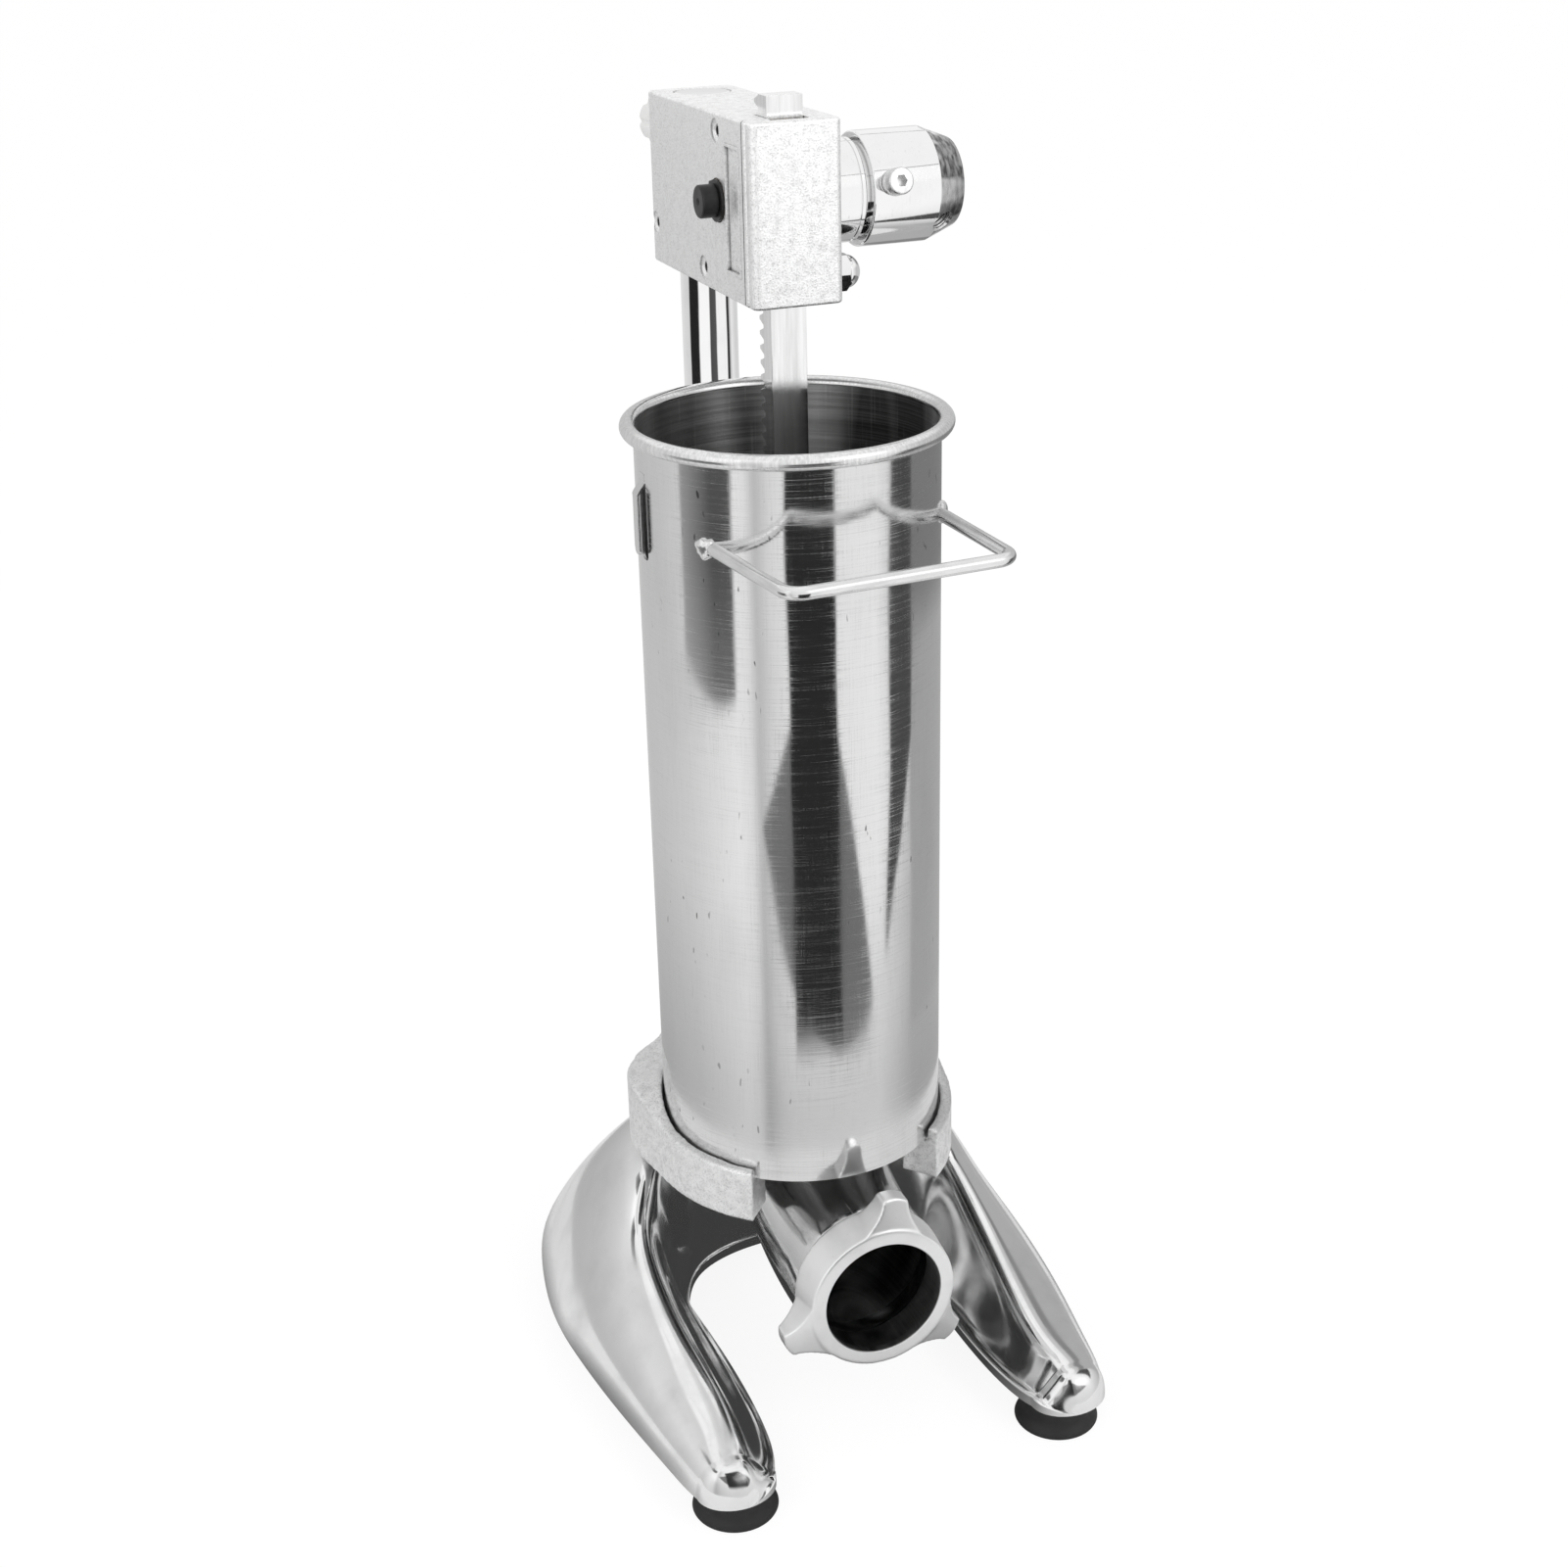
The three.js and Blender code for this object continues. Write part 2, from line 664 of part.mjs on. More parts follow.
function cradle() {
  const half = smoothed(cradleSectionShares, cradleSteps);
  const whole = [...half.slice(1).reverse().map(([angle, ...rest]) => [-angle, ...rest]), ...half];
  const arms = loft(whole.map(cradleSection));
  const corner = roundCornerShare * cradleFillet;
  const lowCorner = cradleFillet / 2;
  const column = turned([
    [0, cradleBottom], [bossRadius - lowCorner, cradleBottom], [bossRadius, cradleBottom + lowCorner],
    [bossRadius, cradleTop - cradleFillet], [bossRadius - corner, cradleTop - corner],
    [bossRadius - cradleFillet, cradleTop], [0, cradleTop],
  ], largeSides).translate(0, postY, 0);
  const cylinderSpace = bar(cradleBore, cradleBottom - cutOverrun, cradleTop + cutOverrun, cylinderSides);
  const boss = cutBy(column, cylinderSpace);
  const boltHole = ([x, y]) => {
    const hole = bar(cradleBoltRadius + seatGap, cradleBottom - cutOverrun, cradleBottom + cradleBoltGrip);
    return hole.translate(x, y, 0);
  };
  return cutBy(
    joined(arms, boss),
    bar(postBore, cradleBottom + postSeatFloor, cradleTop + cutOverrun, middleSides).translate(0, postY, 0),
    bar(postScrewRadius + seatGap, cradleBottom - cutOverrun, cradleTop).translate(0, postY, 0),
    ...cradleBoltPlaces().map(boltHole),
  );
}

addPiece("cradle", cradle(), "blastedCasting");

const screwSeatUnderBase = baseTop - baseWall - seatGap;
cradleBoltPlaces().forEach(([x, y], index) => {
  const bolt = headedScrew(
    cradleBoltRadius, cradleBoltHeadRadius, cradleBoltHeadHeight,
    screwSeatUnderBase, baseWall + cradleBoltGrip,
  );
  addPiece(`cradle_bolt_${index + 1}`, bolt.translate(x, y, 0), "satinSteel");
});

// Post and the screw that draws it down through the cradle and the base
const postBottom = cradleBottom + postSeatFloor + seatGap;

function post() {
  const hole = postScrewRadius + seatGap;
  const holeTop = postBottom + postScrewGrip + seatGap;
  return turned([
    [0, holeTop], [hole, holeTop], [hole, postBottom], [postRadius - edgeChamfer, postBottom],
    [postRadius, postBottom + edgeChamfer], [postRadius, headTop - edgeChamfer],
    [postRadius - edgeChamfer, headTop], [0, headTop],
  ], middleSides).translate(0, postY, 0);
}

addPiece("post", post(), "chrome");
const postScrewLength = baseWall + seatGap + seatGap + postSeatFloor + seatGap + postScrewGrip;
addPiece("post_screw", headedScrew(
  postScrewRadius, postScrewHeadRadius, postScrewHeadHeight, screwSeatUnderBase, postScrewLength,
).translate(0, postY, 0), "satinSteel");

// Dough cylinder with its rolled rim and pressed hook
const rimCentreRadius = cylinderBore + rimRollRadius;
const rimCentreZ = cylinderTop - rimRollRadius;
const hookTop = cylinderTop - hookBelowRim;
const hookBottom = hookTop - hookLength;

function cylinderWallWithRim() {
  const meets = Math.acos((cylinderRadius - rimCentreRadius) / rimRollRadius);
  const steps = 2 * arcSteps;
  const roll = Array.from({ length: steps + 1 }, (_, step) => {
    const turn = -meets + ((Math.PI + meets) * step) / steps;
    return [rimCentreRadius + rimRollRadius * Math.cos(turn), rimCentreZ + rimRollRadius * Math.sin(turn)];
  });
  return turned([[cylinderBore, cylinderBottom], [cylinderRadius, cylinderBottom], ...roll], cylinderSides);
}

// The slot left by the hook: straight sides and a half-round bottom, cut through the wall on -X.
function hookSlot() {
  const halfWidth = hookWidth / 2 + hookSlotMargin;
  const shape = new THREE.Shape();
  shape.moveTo(halfWidth, hookTop);
  shape.lineTo(-halfWidth, hookTop);
  shape.lineTo(-halfWidth, hookBottom);
  shape.absarc(0, hookBottom, halfWidth, Math.PI, 2 * Math.PI, false);
  const depth = cylinderWall + 2 * cutOverrun;
  const slot = new THREE.ExtrudeGeometry(shape, { depth, bevelEnabled: false, curveSegments: arcSteps });
  return alongX(slot).translate(-cylinderRadius - cutOverrun, 0, 0);
}

// The tongue leaves the wall at the slot's top, steps outwards and hangs down to a rounded end.
function hookTongue() {
  const wall = -cylinderRadius;
  const out = wall - hookStandOff;
  const step = 2 * hookStandOff;
  const shape = new THREE.Shape();
  shape.moveTo(wall + cylinderWall, hookTop + cutOverrun);
  shape.lineTo(wall, hookTop + cutOverrun);
  shape.lineTo(out, hookTop - step / 2);
  shape.lineTo(out, hookBottom);
  shape.lineTo(out + hookThickness, hookBottom);
  shape.lineTo(out + hookThickness, hookTop - step / 2 - hookThickness);
  shape.lineTo(wall + cylinderWall, hookTop - hookThickness);
  const tongue = new THREE.ExtrudeGeometry(shape, { depth: hookWidth, bevelEnabled: false });
  const mask = new THREE.Shape();
  mask.moveTo(-hookWidth / 2, hookTop + 2 * cutOverrun);
  mask.lineTo(-hookWidth / 2, hookBottom + hookWidth / 2);
  mask.absarc(0, hookBottom + hookWidth / 2, hookWidth / 2, Math.PI, 2 * Math.PI, false);
  mask.lineTo(hookWidth / 2, hookTop + 2 * cutOverrun);
  const depth = 2 * hookStandOff + 2 * cylinderWall;
  const end = new THREE.ExtrudeGeometry(mask, { depth, bevelEnabled: false, curveSegments: arcSteps });
  return sharedBy(
    tongue.rotateX(Math.PI / 2).translate(0, hookWidth / 2, 0),
    alongX(end).translate(out - hookThickness, 0, 0),
  );
}

addPiece("cylinder_shell", joined(cutBy(cylinderWallWithRim(), hookSlot()), hookTongue()), "mirrorSteel");

function cylinderFloor() {
  const edge = cylinderBore - seatGap;
  const top = cylinderBottom + floorThickness;
  return turned([
    [elbowBore, cylinderBottom], [edge, cylinderBottom], [edge, top], [elbowBore + floorThickness / 2, top],
  ], largeSides);
}

addPiece("cylinder_floor", cylinderFloor(), "satinSteel");

// Carry handle: a bent wire whose two ends are welded to the front of the cylinder
function handlePath() {
  const weld = radians(handleWeldAngle);
  const frontY = -cylinderRadius - handleStandOff;
  const path = [[cylinderBore * Math.sin(weld), -cylinderBore * Math.cos(weld) + wireRadius]];
  for (let step = 0; step <= arcSteps; step += 1) {
    const turn = ((Math.PI / 2) * step) / arcSteps;
    const shift = handleHalfWidth - handleCorner;
    path.push([shift + handleCorner * Math.cos(turn), frontY + handleCorner - handleCorner * Math.sin(turn)]);
  }
  return [...path, ...path.map(([x, y]) => [-x, y]).reverse()];
}

function carryHandle() {
  const wire = bentWire(handlePath(), cylinderTop - handleBelowRim, wireRadius, smallSides / 2 + arcSteps);
  return cutBy(wire, bar(cylinderRadius + seatGap, cylinderBottom, cylinderTop, cylinderSides));
}

addPiece("carry_handle", carryHandle(), "chrome");

// Outlet elbow: round sections that lean over by a quarter turn, then a straight end with the nut's spigot
function leaningRing(middleY, middleZ, turn, radius) {
  return Array.from({ length: largeSides }, (_, side) => {
    const angle = (2 * Math.PI * side) / largeSides;
    const across = radius * Math.cos(angle);
    return new THREE.Vector3(
      radius * Math.sin(angle), middleY + across * Math.cos(turn), middleZ - across * Math.sin(turn),
    );
  });
}

function bendRings(radius) {
  return Array.from({ length: bendSteps + 1 }, (_, step) => {
    const turn = ((Math.PI / 2) * step) / bendSteps;
    const middleY = -elbowReach * (1 - Math.cos(turn));
    return leaningRing(middleY, outletZ + elbowDrop * (1 - Math.sin(turn)), turn, radius);
  });
}

function outletElbow() {
  const quarter = Math.PI / 2;
  const spigotEndY = elbowEndY - spigotLength;
  const spigotBore = spigotRadius - spigotWall;
  const outside = loft([
    leaningRing(0, elbowTop, 0, elbowRadius + elbowFlare),
    leaningRing(0, elbowTop - elbowCollar / 2, 0, elbowRadius + elbowFlare / 3),
    ...bendRings(elbowRadius),
    leaningRing(elbowEndY, outletZ, quarter, elbowRadius),
  ]);
  const spigot = alongFront(bar(spigotRadius, elbowReach, -spigotEndY, largeSides)).translate(0, 0, outletZ);
  const inside = loft([
    leaningRing(0, elbowTop + cutOverrun, 0, elbowBore),
    ...bendRings(elbowBore),
    leaningRing(elbowEndY + elbowWall + spigotWall, outletZ, quarter, elbowBore),
    leaningRing(elbowEndY, outletZ, quarter, spigotBore),
    leaningRing(spigotEndY - cutOverrun, outletZ, quarter, spigotBore),
  ]);
  return cutBy(joined(outside, spigot), inside);
}

addPiece("outlet_elbow", outletElbow(), "mirrorSteel");

// Ring nut: a turned ring with three hand lobes, built along its own axis and then laid to the front
const nutBore = spigotRadius + runningGap;

function lobedOutline() {
  const rootAngle = Math.asin(lobeRootWidth / 2 / nutFrontRadius);
  const tipSide = lobeTipWidth / 2;
  const shape = new THREE.Shape();
  for (let lobe = 0; lobe < nutLobes; lobe += 1) {
    const middle = radians(nutLobeAngle) + (2 * Math.PI * lobe) / nutLobes;
    const at = (out, across) => [
      out * Math.cos(middle) - across * Math.sin(middle), out * Math.sin(middle) + across * Math.cos(middle),
    ];
    const root = nutFrontRadius * Math.cos(rootAngle);
    const waist = (root + lobeTipRadius) / 2;
    const tipCorner = lobeTipRadius - tipSide / 4;
    const previous = middle - (2 * Math.PI) / nutLobes;
    if (lobe === 0) shape.moveTo(...at(root, -lobeRootWidth / 2));
    else shape.absarc(0, 0, nutFrontRadius, previous + rootAngle, middle - rootAngle, false);
    shape.quadraticCurveTo(...at(waist, -tipSide), ...at(tipCorner, -tipSide));
    shape.quadraticCurveTo(...at(lobeTipRadius + tipSide / 4, 0), ...at(tipCorner, tipSide));
    shape.quadraticCurveTo(...at(waist, tipSide), ...at(root, lobeRootWidth / 2));
  }
  const first = radians(nutLobeAngle) + 2 * Math.PI;
  shape.absarc(0, 0, nutFrontRadius, first + rootAngle - (2 * Math.PI) / nutLobes, first - rootAngle, false);
  return shape;
}

function ringNut() {
  const edge = nutFrontRadius - nutMouthRadius;
  const round = edge / 5;
  const inside = nutMouthRadius - cutOverrun;
  const prism = new THREE.ExtrudeGeometry(lobedOutline(), {
    depth: nutLength, bevelEnabled: false, curveSegments: arcSteps + 1,
  });
  const lobeBack = nutLength - lobeSlope - lobeTipThickness;
  const wedge = turned([
    [inside, round], [nutBackRadius, round], [lobeTipRadius + cutOverrun, lobeBack],
    [lobeTipRadius + cutOverrun, nutLength - lobeSlope], [nutFrontRadius, nutLength - round / 2],
    [inside, nutLength - round / 2],
  ], largeSides);
  const ring = turned([
    [inside, 0], [nutBackRadius - round, 0], [nutBackRadius, round], [nutFrontRadius, nutLength - round],
    [nutFrontRadius - round, nutLength], [inside, nutLength],
  ], largeSides);
  const bore = turned([
    [0, -cutOverrun], [nutBore, -cutOverrun], [nutBore, nutLength - nutLipThickness],
    [nutMouthRadius, nutLength - nutLipThickness], [nutMouthRadius, nutLength - round],
    [nutMouthRadius + round, nutLength], [nutMouthRadius + round, nutLength + cutOverrun],
    [0, nutLength + cutOverrun],
  ], largeSides);
  const nut = cutBy(joined(ring, sharedBy(prism, wedge)), bore);
  return alongFront(nut).translate(0, nutBackY, outletZ);
}

addPiece("ring_nut", ringNut(), "polishedCasting");

// Gear head: housing and front cover, both with rounded upright corners
function roundedPlan(lowY, highY, frontCorner, rearCorner) {
  const half = headHalfWidth;
  const shape = new THREE.Shape();
  const corner = (x, y, radius, from) => {
    if (radius === 0) shape.lineTo(x, y);
    else {
      const middleX = x - Math.sign(x) * radius;
      const middleY = y > lowY ? y - radius : y + radius;
      shape.absarc(middleX, middleY, radius, from, from + Math.PI / 2, false);
    }
  };
  shape.moveTo(-half, (lowY + highY) / 2);
  corner(-half, lowY, frontCorner, Math.PI);
  corner(half, lowY, frontCorner, 1.5 * Math.PI);
  corner(half, highY, rearCorner, 0);
  corner(-half, highY, rearCorner, Math.PI / 2);
  return shape;
}

function headBlock(lowY, highY, frontCorner, rearCorner) {
  const block = new THREE.ExtrudeGeometry(roundedPlan(lowY, highY, frontCorner, rearCorner), {
    depth: headHeight - 2 * headBevel, bevelSize: headBevel, bevelOffset: -headBevel,
    bevelThickness: headBevel, bevelSegments: 1, curveSegments: arcSteps,
  });
  return block.translate(0, 0, headBottom + headBevel);
}

const rackHalfWidth = rackWidth / 2;
const channelHalfWidth = rackHalfWidth + runningGap;
const pinionTipRadius = pinionRadius + pinionTipShare * toothModule;
const chamberRadius = pinionTipRadius + 2 * runningGap;
const bushRadius = shaftRadius + runningGap + bushWall;
const guideScrewZ = headBottom + guideScrewRise;
const knobZ = headTop - knobBelowTop;

// Recessed grub screws in the housing's left face, as shares of its depth and height
const plugScrewShares = [[0.281, 0.903], [0.951, 0.237], [0.439, 0.109]];
const housingDepth = headBackY - housingFrontY;

function plugScrewPlaces() {
  return plugScrewShares.map(([back, up]) => {
    return [housingFrontY + back * housingDepth, headBottom + up * headHeight];
  });
}

// A tool along X at a place on the head's sides, from one x to another.
function sideBar(radius, lowX, highX, y, z, sides = smallSides) {
  return alongX(bar(radius, lowX, highX, sides)).translate(0, y, z);
}

function gearHousing() {
  const left = -headHalfWidth;
  const throughLow = headBottom - cutOverrun;
  const throughHigh = headTop + cutOverrun;
  const channelFrontY = housingFrontY - cutOverrun;
  const channelBackY = rackBackY + runningGap;
  const labelLow = headBottom + (headHeight - labelHeight) / 2;
  const frontBlock = headBlock(housingFrontY, headBackY, 0, headCorner);
  const shaftBore = bushRadius + seatGap;
  return cutBy(
    frontBlock,
    bar(postBore, throughLow, throughHigh, middleSides).translate(0, postY, 0),
    block(-channelHalfWidth, channelHalfWidth, channelFrontY, channelBackY, throughLow, throughHigh),
    block(-channelHalfWidth, channelHalfWidth, rackFrontY, pinionY,
      pinionZ - chamberRadius, pinionZ + chamberRadius),
    sideBar(chamberRadius, -channelHalfWidth, channelHalfWidth, pinionY, pinionZ, middleSides),
    sideBar(shaftBore, left - cutOverrun, headHalfWidth + cutOverrun, pinionY, pinionZ, middleSides),
    sideBar(guideScrewRadius + seatGap, 0, headHalfWidth + cutOverrun, 0, guideScrewZ),
    alongBack(bar(knobScrewRadius + seatGap, postY, headBackY + cutOverrun, middleSides))
      .translate(0, 0, knobZ),
    block(left - cutOverrun, left + labelDepth, labelY - labelWidth / 2, labelY + labelWidth / 2,
      labelLow, labelLow + labelHeight),
    ...plugScrewPlaces().map(([y, z]) => {
      const inner = left + plugScrewRecess + plugScrewLength + seatGap;
      return sideBar(plugScrewRadius + seatGap, left - cutOverrun, inner, y, z);
    }),
  );
}

addPiece("gear_housing", gearHousing(), "blastedCasting");
addPiece("front_cover", headBlock(coverFrontY, coverBackY, headCorner, 0), "blastedCasting");

plugScrewPlaces().forEach(([y, z], index) => {
  const outer = plugScrewRecess - headHalfWidth;
  const screw = turned([
    [0, outer + plugScrewRadius / 2], [plugScrewRadius / 2, outer + plugScrewRadius / 2],
    [plugScrewRadius / 2, outer], [plugScrewRadius, outer], [plugScrewRadius, outer + plugScrewLength],
    [0, outer + plugScrewLength],
  ], smallSides);
  addPiece(`housing_screw_${index + 1}`, alongX(screw).translate(0, y, z), "satinSteel");
});

// Slide pad between the rack's front face and the cover
addPiece("rack_guide_pad", block(
  -rackHalfWidth, rackHalfWidth, housingFrontY, rackFrontY - runningGap,
  headBottom + padEndMargin, headTop - padEndMargin,
), "bronze");

// Rack: a square bar with straight-sided teeth on its back, plain at the lower end
const toothPitch = Math.PI * toothModule;
const rackTop = headTop + rackAboveHead;
const toothRootY = rackBackY - toothDepth;

function rackOutline() {
  const tipHalf = toothPitch / 4 - toothModule * Math.tan(radians(pressureAngle));
  const rootHalf = toothPitch / 4 + (toothDepth - toothModule) * Math.tan(radians(pressureAngle));
  const lowest = Math.ceil((rackBottom + rackPlainEnd - pinionZ) / toothPitch);
  const highest = Math.floor((rackTop - pinionZ) / toothPitch - 1);
  const shape = new THREE.Shape();
  shape.moveTo(rackFrontY, rackBottom);
  shape.lineTo(rackBackY, rackBottom);
  shape.lineTo(rackBackY, rackBottom + rackPlainEnd - toothPitch);
  shape.lineTo(toothRootY, rackBottom + rackPlainEnd - toothPitch);
  for (let tooth = lowest; tooth <= highest; tooth += 1) {
    const middle = pinionZ + (tooth + 0.5) * toothPitch;
    shape.lineTo(toothRootY, middle - rootHalf);
    shape.lineTo(rackBackY, middle - tipHalf);
    shape.lineTo(rackBackY, middle + tipHalf);
    shape.lineTo(toothRootY, middle + rootHalf);
  }
  shape.lineTo(toothRootY, rackTop);
  shape.lineTo(rackFrontY, rackTop);
  return shape;
}

function rack() {
  const body = alongX(new THREE.ExtrudeGeometry(rackOutline(), { depth: rackWidth, bevelEnabled: false }));
  const studBottom = pistonBottom + seatGap;
  const stud = bar(rackStudRadius, studBottom, rackBottom + cutOverrun);
  return joined(body.translate(-rackHalfWidth, 0, 0), stud);
}

addPiece("rack", rack(), "satinSteel");

// Pinion with involute flanks, one tooth pointing at the rack
const baseCircle = pinionRadius * Math.cos(radians(pressureAngle));
const pinionRootRadius = pinionRadius - (toothDepth - toothModule);

function involuteOf(angle) {
  return Math.tan(angle) - angle;
}

// Half the angle that a tooth takes up at the given radius.
function toothHalfAngle(radius) {
  const atPitch = Math.PI / (2 * pinionTeeth) - toothPlay / 2 / pinionRadius;
  const here = Math.acos(Math.min(baseCircle / radius, 1));
  return atPitch + involuteOf(radians(pressureAngle)) - involuteOf(here);
}

function pinionOutline() {
  const addendumMiddle = (pinionRadius + pinionTipRadius) / 2;
  const flank = [pinionRootRadius, baseCircle, pinionRadius, addendumMiddle, pinionTipRadius];
  const points = [];
  for (let tooth = 0; tooth < pinionTeeth; tooth += 1) {
    const middle = Math.PI + (2 * Math.PI * tooth) / pinionTeeth;
    const side = (sign) => (radius) => {
      const angle = middle + sign * toothHalfAngle(radius);
      return new THREE.Vector2(radius * Math.cos(angle), radius * Math.sin(angle));
    };
    points.push(...flank.map(side(-1)), ...[...flank].reverse().map(side(1)));
  }
  return new THREE.Shape(points);
}

const keyHalf = keyWidth / 2;
const keyTop = shaftRadius + keyHalf;
const keyBottom = shaftRadius - keyHalf;
const pinionHalfWidth = Math.min(pinionWidth / 2, channelHalfWidth - runningGap);
const keyHalfLength = pinionHalfWidth;

// The key's space, grown by a margin on every side, around the shaft's own axis.
function keySpace(margin, halfLength) {
  return block(
    -halfLength, halfLength, -keyHalf - margin, keyHalf + margin, keyBottom - margin, keyTop + margin,
  );
}

function pinionGear() {
  const blank = new THREE.ExtrudeGeometry(pinionOutline(), {
    depth: 2 * pinionHalfWidth, bevelEnabled: false,
  });
  return cutBy(
    alongX(blank).translate(-pinionHalfWidth, 0, 0),
    sideBar(shaftRadius + seatGap, -pinionWidth, pinionWidth, 0, 0, middleSides),
    keySpace(seatGap, pinionWidth),
  ).translate(0, pinionY, pinionZ);
}

addPiece("pinion_gear", pinionGear(), "satinSteel");
addPiece("pinion_key", keySpace(0, keyHalfLength).translate(0, pinionY, pinionZ), "satinSteel");

const clipOuterX = -headHalfWidth - runningGap - clipThickness;
const grooveRadius = shaftRadius - shaftGroove;

function pinionShaft() {
  const left = -shaftLeftReach;
  const right = hubStartX + shaftHubDepth;
  const centreDrill = shaftRadius / 4;
  const grooveLeft = clipOuterX - seatGap;
  const grooveRight = clipOuterX + clipThickness + seatGap;
  const body = turned([
    [0, left + centreDrill], [centreDrill, left], [shaftRadius - edgeChamfer, left],
    [shaftRadius, left + edgeChamfer], [shaftRadius, grooveLeft], [grooveRadius, grooveLeft],
    [grooveRadius, grooveRight], [shaftRadius, grooveRight], [shaftRadius, right - edgeChamfer],
    [shaftRadius - edgeChamfer, right], [0, right],
  ], middleSides);
  return cutBy(alongX(body), keySpace(seatGap, keyHalfLength + seatGap)).translate(0, pinionY, pinionZ);
}

addPiece("pinion_shaft", pinionShaft(), "blackOxide");

// Spring clip: an open ring in the shaft's groove with two round ears
function shaftClip() {
  const inner = grooveRadius + seatGap;
  const outer = inner + clipWidth;
  const opening = radians(clipOpening) / 2;
  const shape = new THREE.Shape();
  shape.absarc(0, 0, outer, opening, 2 * Math.PI - opening, false);
  shape.absarc(0, 0, inner, 2 * Math.PI - opening, opening, true);
  const ring = new THREE.ExtrudeGeometry(shape, {
    depth: clipThickness, bevelEnabled: false, curveSegments: middleSides / 2,
  });
  return alongX(ring).translate(clipOuterX, pinionY, pinionZ);
}

addPiece("shaft_clip", shaftClip(), "blackOxide");

function shaftBush(outerX, innerX) {
  const bore = shaftRadius + runningGap;
  const section = [[bore, outerX], [bushRadius, outerX], [bushRadius, innerX], [bore, innerX]];
  return alongX(turned(section, middleSides)).translate(0, pinionY, pinionZ);
}

addPiece("bush_left", shaftBush(-headHalfWidth, -channelHalfWidth - seatGap), "bronze");
addPiece("bush_right", shaftBush(channelHalfWidth + seatGap, headHalfWidth), "bronze");

// Crank hub
// Turns what stands on +Z round the hub's axis, by an angle from the front towards the top.
function roundHub(geometry, angle) {
  return geometry.rotateX(Math.PI / 2 - radians(angle));
}

// Neck, groove, body and a taper with three holes for the crank's spokes, square to the taper.
function crankHub() {
  const bore = shaftRadius + seatGap;
  const grooveX = hubStartX + hubNeckLength;
  const boreEnd = hubStartX + shaftHubDepth + seatGap;
  const body = alongX(turned([
    [0, boreEnd], [bore, boreEnd], [bore, hubStartX], [hubNeckRadius - edgeChamfer, hubStartX],
    [hubNeckRadius, hubStartX + edgeChamfer], [hubNeckRadius, grooveX],
    [hubNeckRadius - hubGrooveDepth, grooveX], [hubNeckRadius - hubGrooveDepth, hubBodyX],
    [hubRadius - edgeChamfer, hubBodyX], [hubRadius, hubBodyX + edgeChamfer], [hubRadius, hubTaperX],
    [hubEndRadius, hubEndX - edgeChamfer], [hubEndRadius - edgeChamfer, hubEndX], [0, hubEndX],
  ], largeSides));
  const screwHole = bar(hubScrewRadius + seatGap, 0, hubRadius + cutOverrun).translate(hubScrewX, 0, 0);
  const taperFall = hubRadius - hubEndRadius;
  const slope = Math.atan2(taperFall, hubTaperLength);
  const holeFall = (taperFall * spokeHoleInset) / hubTaperLength;
  const holes = Array.from({ length: spokeHoles }, (_, index) => {
    const tool = bar(spokeHoleRadius, -spokeHoleDepth, spokeHoleRadius + cutOverrun);
    tool.rotateY(slope).translate(hubTaperX + spokeHoleInset, 0, hubRadius - holeFall);
    return roundHub(tool, spokeHoleAngle + (index * 360) / spokeHoles);
  });
  return cutBy(body, roundHub(screwHole, hubScrewAngle), ...holes).translate(0, pinionY, pinionZ);
}

addPiece("crank_hub", crankHub(), "chrome");

function hubScrew() {
  const seat = hubRadius + seatGap;
  const top = seat + hubScrewHeadHeight;
  const tip = shaftRadius + seatGap;
  const body = turned([
    [0, tip], [hubScrewRadius, tip], [hubScrewRadius, seat], [hubScrewHeadRadius, seat],
    [hubScrewHeadRadius, top - edgeChamfer], [hubScrewHeadRadius - edgeChamfer, top], [0, top],
  ], smallSides);
  const socket = hexagonBar(hubScrewHeadRadius, top - hubScrewHeadHeight / 2, top + cutOverrun);
  const screw = cutBy(body, socket).translate(hubScrewX, 0, 0);
  return roundHub(screw, hubScrewAngle).translate(0, pinionY, pinionZ);
}

addPiece("hub_screw", hubScrew(), "satinSteel");

// Rack guide screw from the right side, locked by a dome nut
const domeNutX = headHalfWidth + seatGap;

function guideScrew() {
  const end = domeNutX + domeNutHexLength;
  return sideBar(guideScrewRadius, channelHalfWidth, end, 0, guideScrewZ);
}

function domeNut() {
  const flange = domeNutFlats / 2;
  const start = domeNutX;
  const hexEnd = start + domeNutHexLength;
  const top = start + domeNutLength;
  const domeRadius = flange - edgeChamfer / 2;
  const dome = [];
  for (let step = 0; step <= arcSteps; step += 1) {
    const turn = ((Math.PI / 2) * step) / arcSteps;
    const out = step === arcSteps ? 0 : domeRadius * Math.cos(turn);
    dome.push([out, hexEnd + (top - hexEnd) * Math.sin(turn)]);
  }
  const round = turned([[0, start + edgeChamfer], [domeRadius, start + edgeChamfer], ...dome], middleSides);
  const hole = bar(guideScrewRadius + seatGap, start - cutOverrun, hexEnd + seatGap);
  const nut = cutBy(joined(hexagonBar(domeNutFlats, start, hexEnd), round), hole);
  return alongX(nut).translate(0, 0, guideScrewZ);
}

addPiece("rack_guide_screw", guideScrew(), "satinSteel");
addPiece("guide_dome_nut", domeNut(), "chrome");

// Clamp knob and its screw, which presses on the back of the post
const knobScrewStartY = postY + postRadius + seatGap;
const knobStartY = headBackY + knobScrewFree;
const knobEndY = knobStartY + knobLength;
const knobBlindDepth = knobLength / 2;

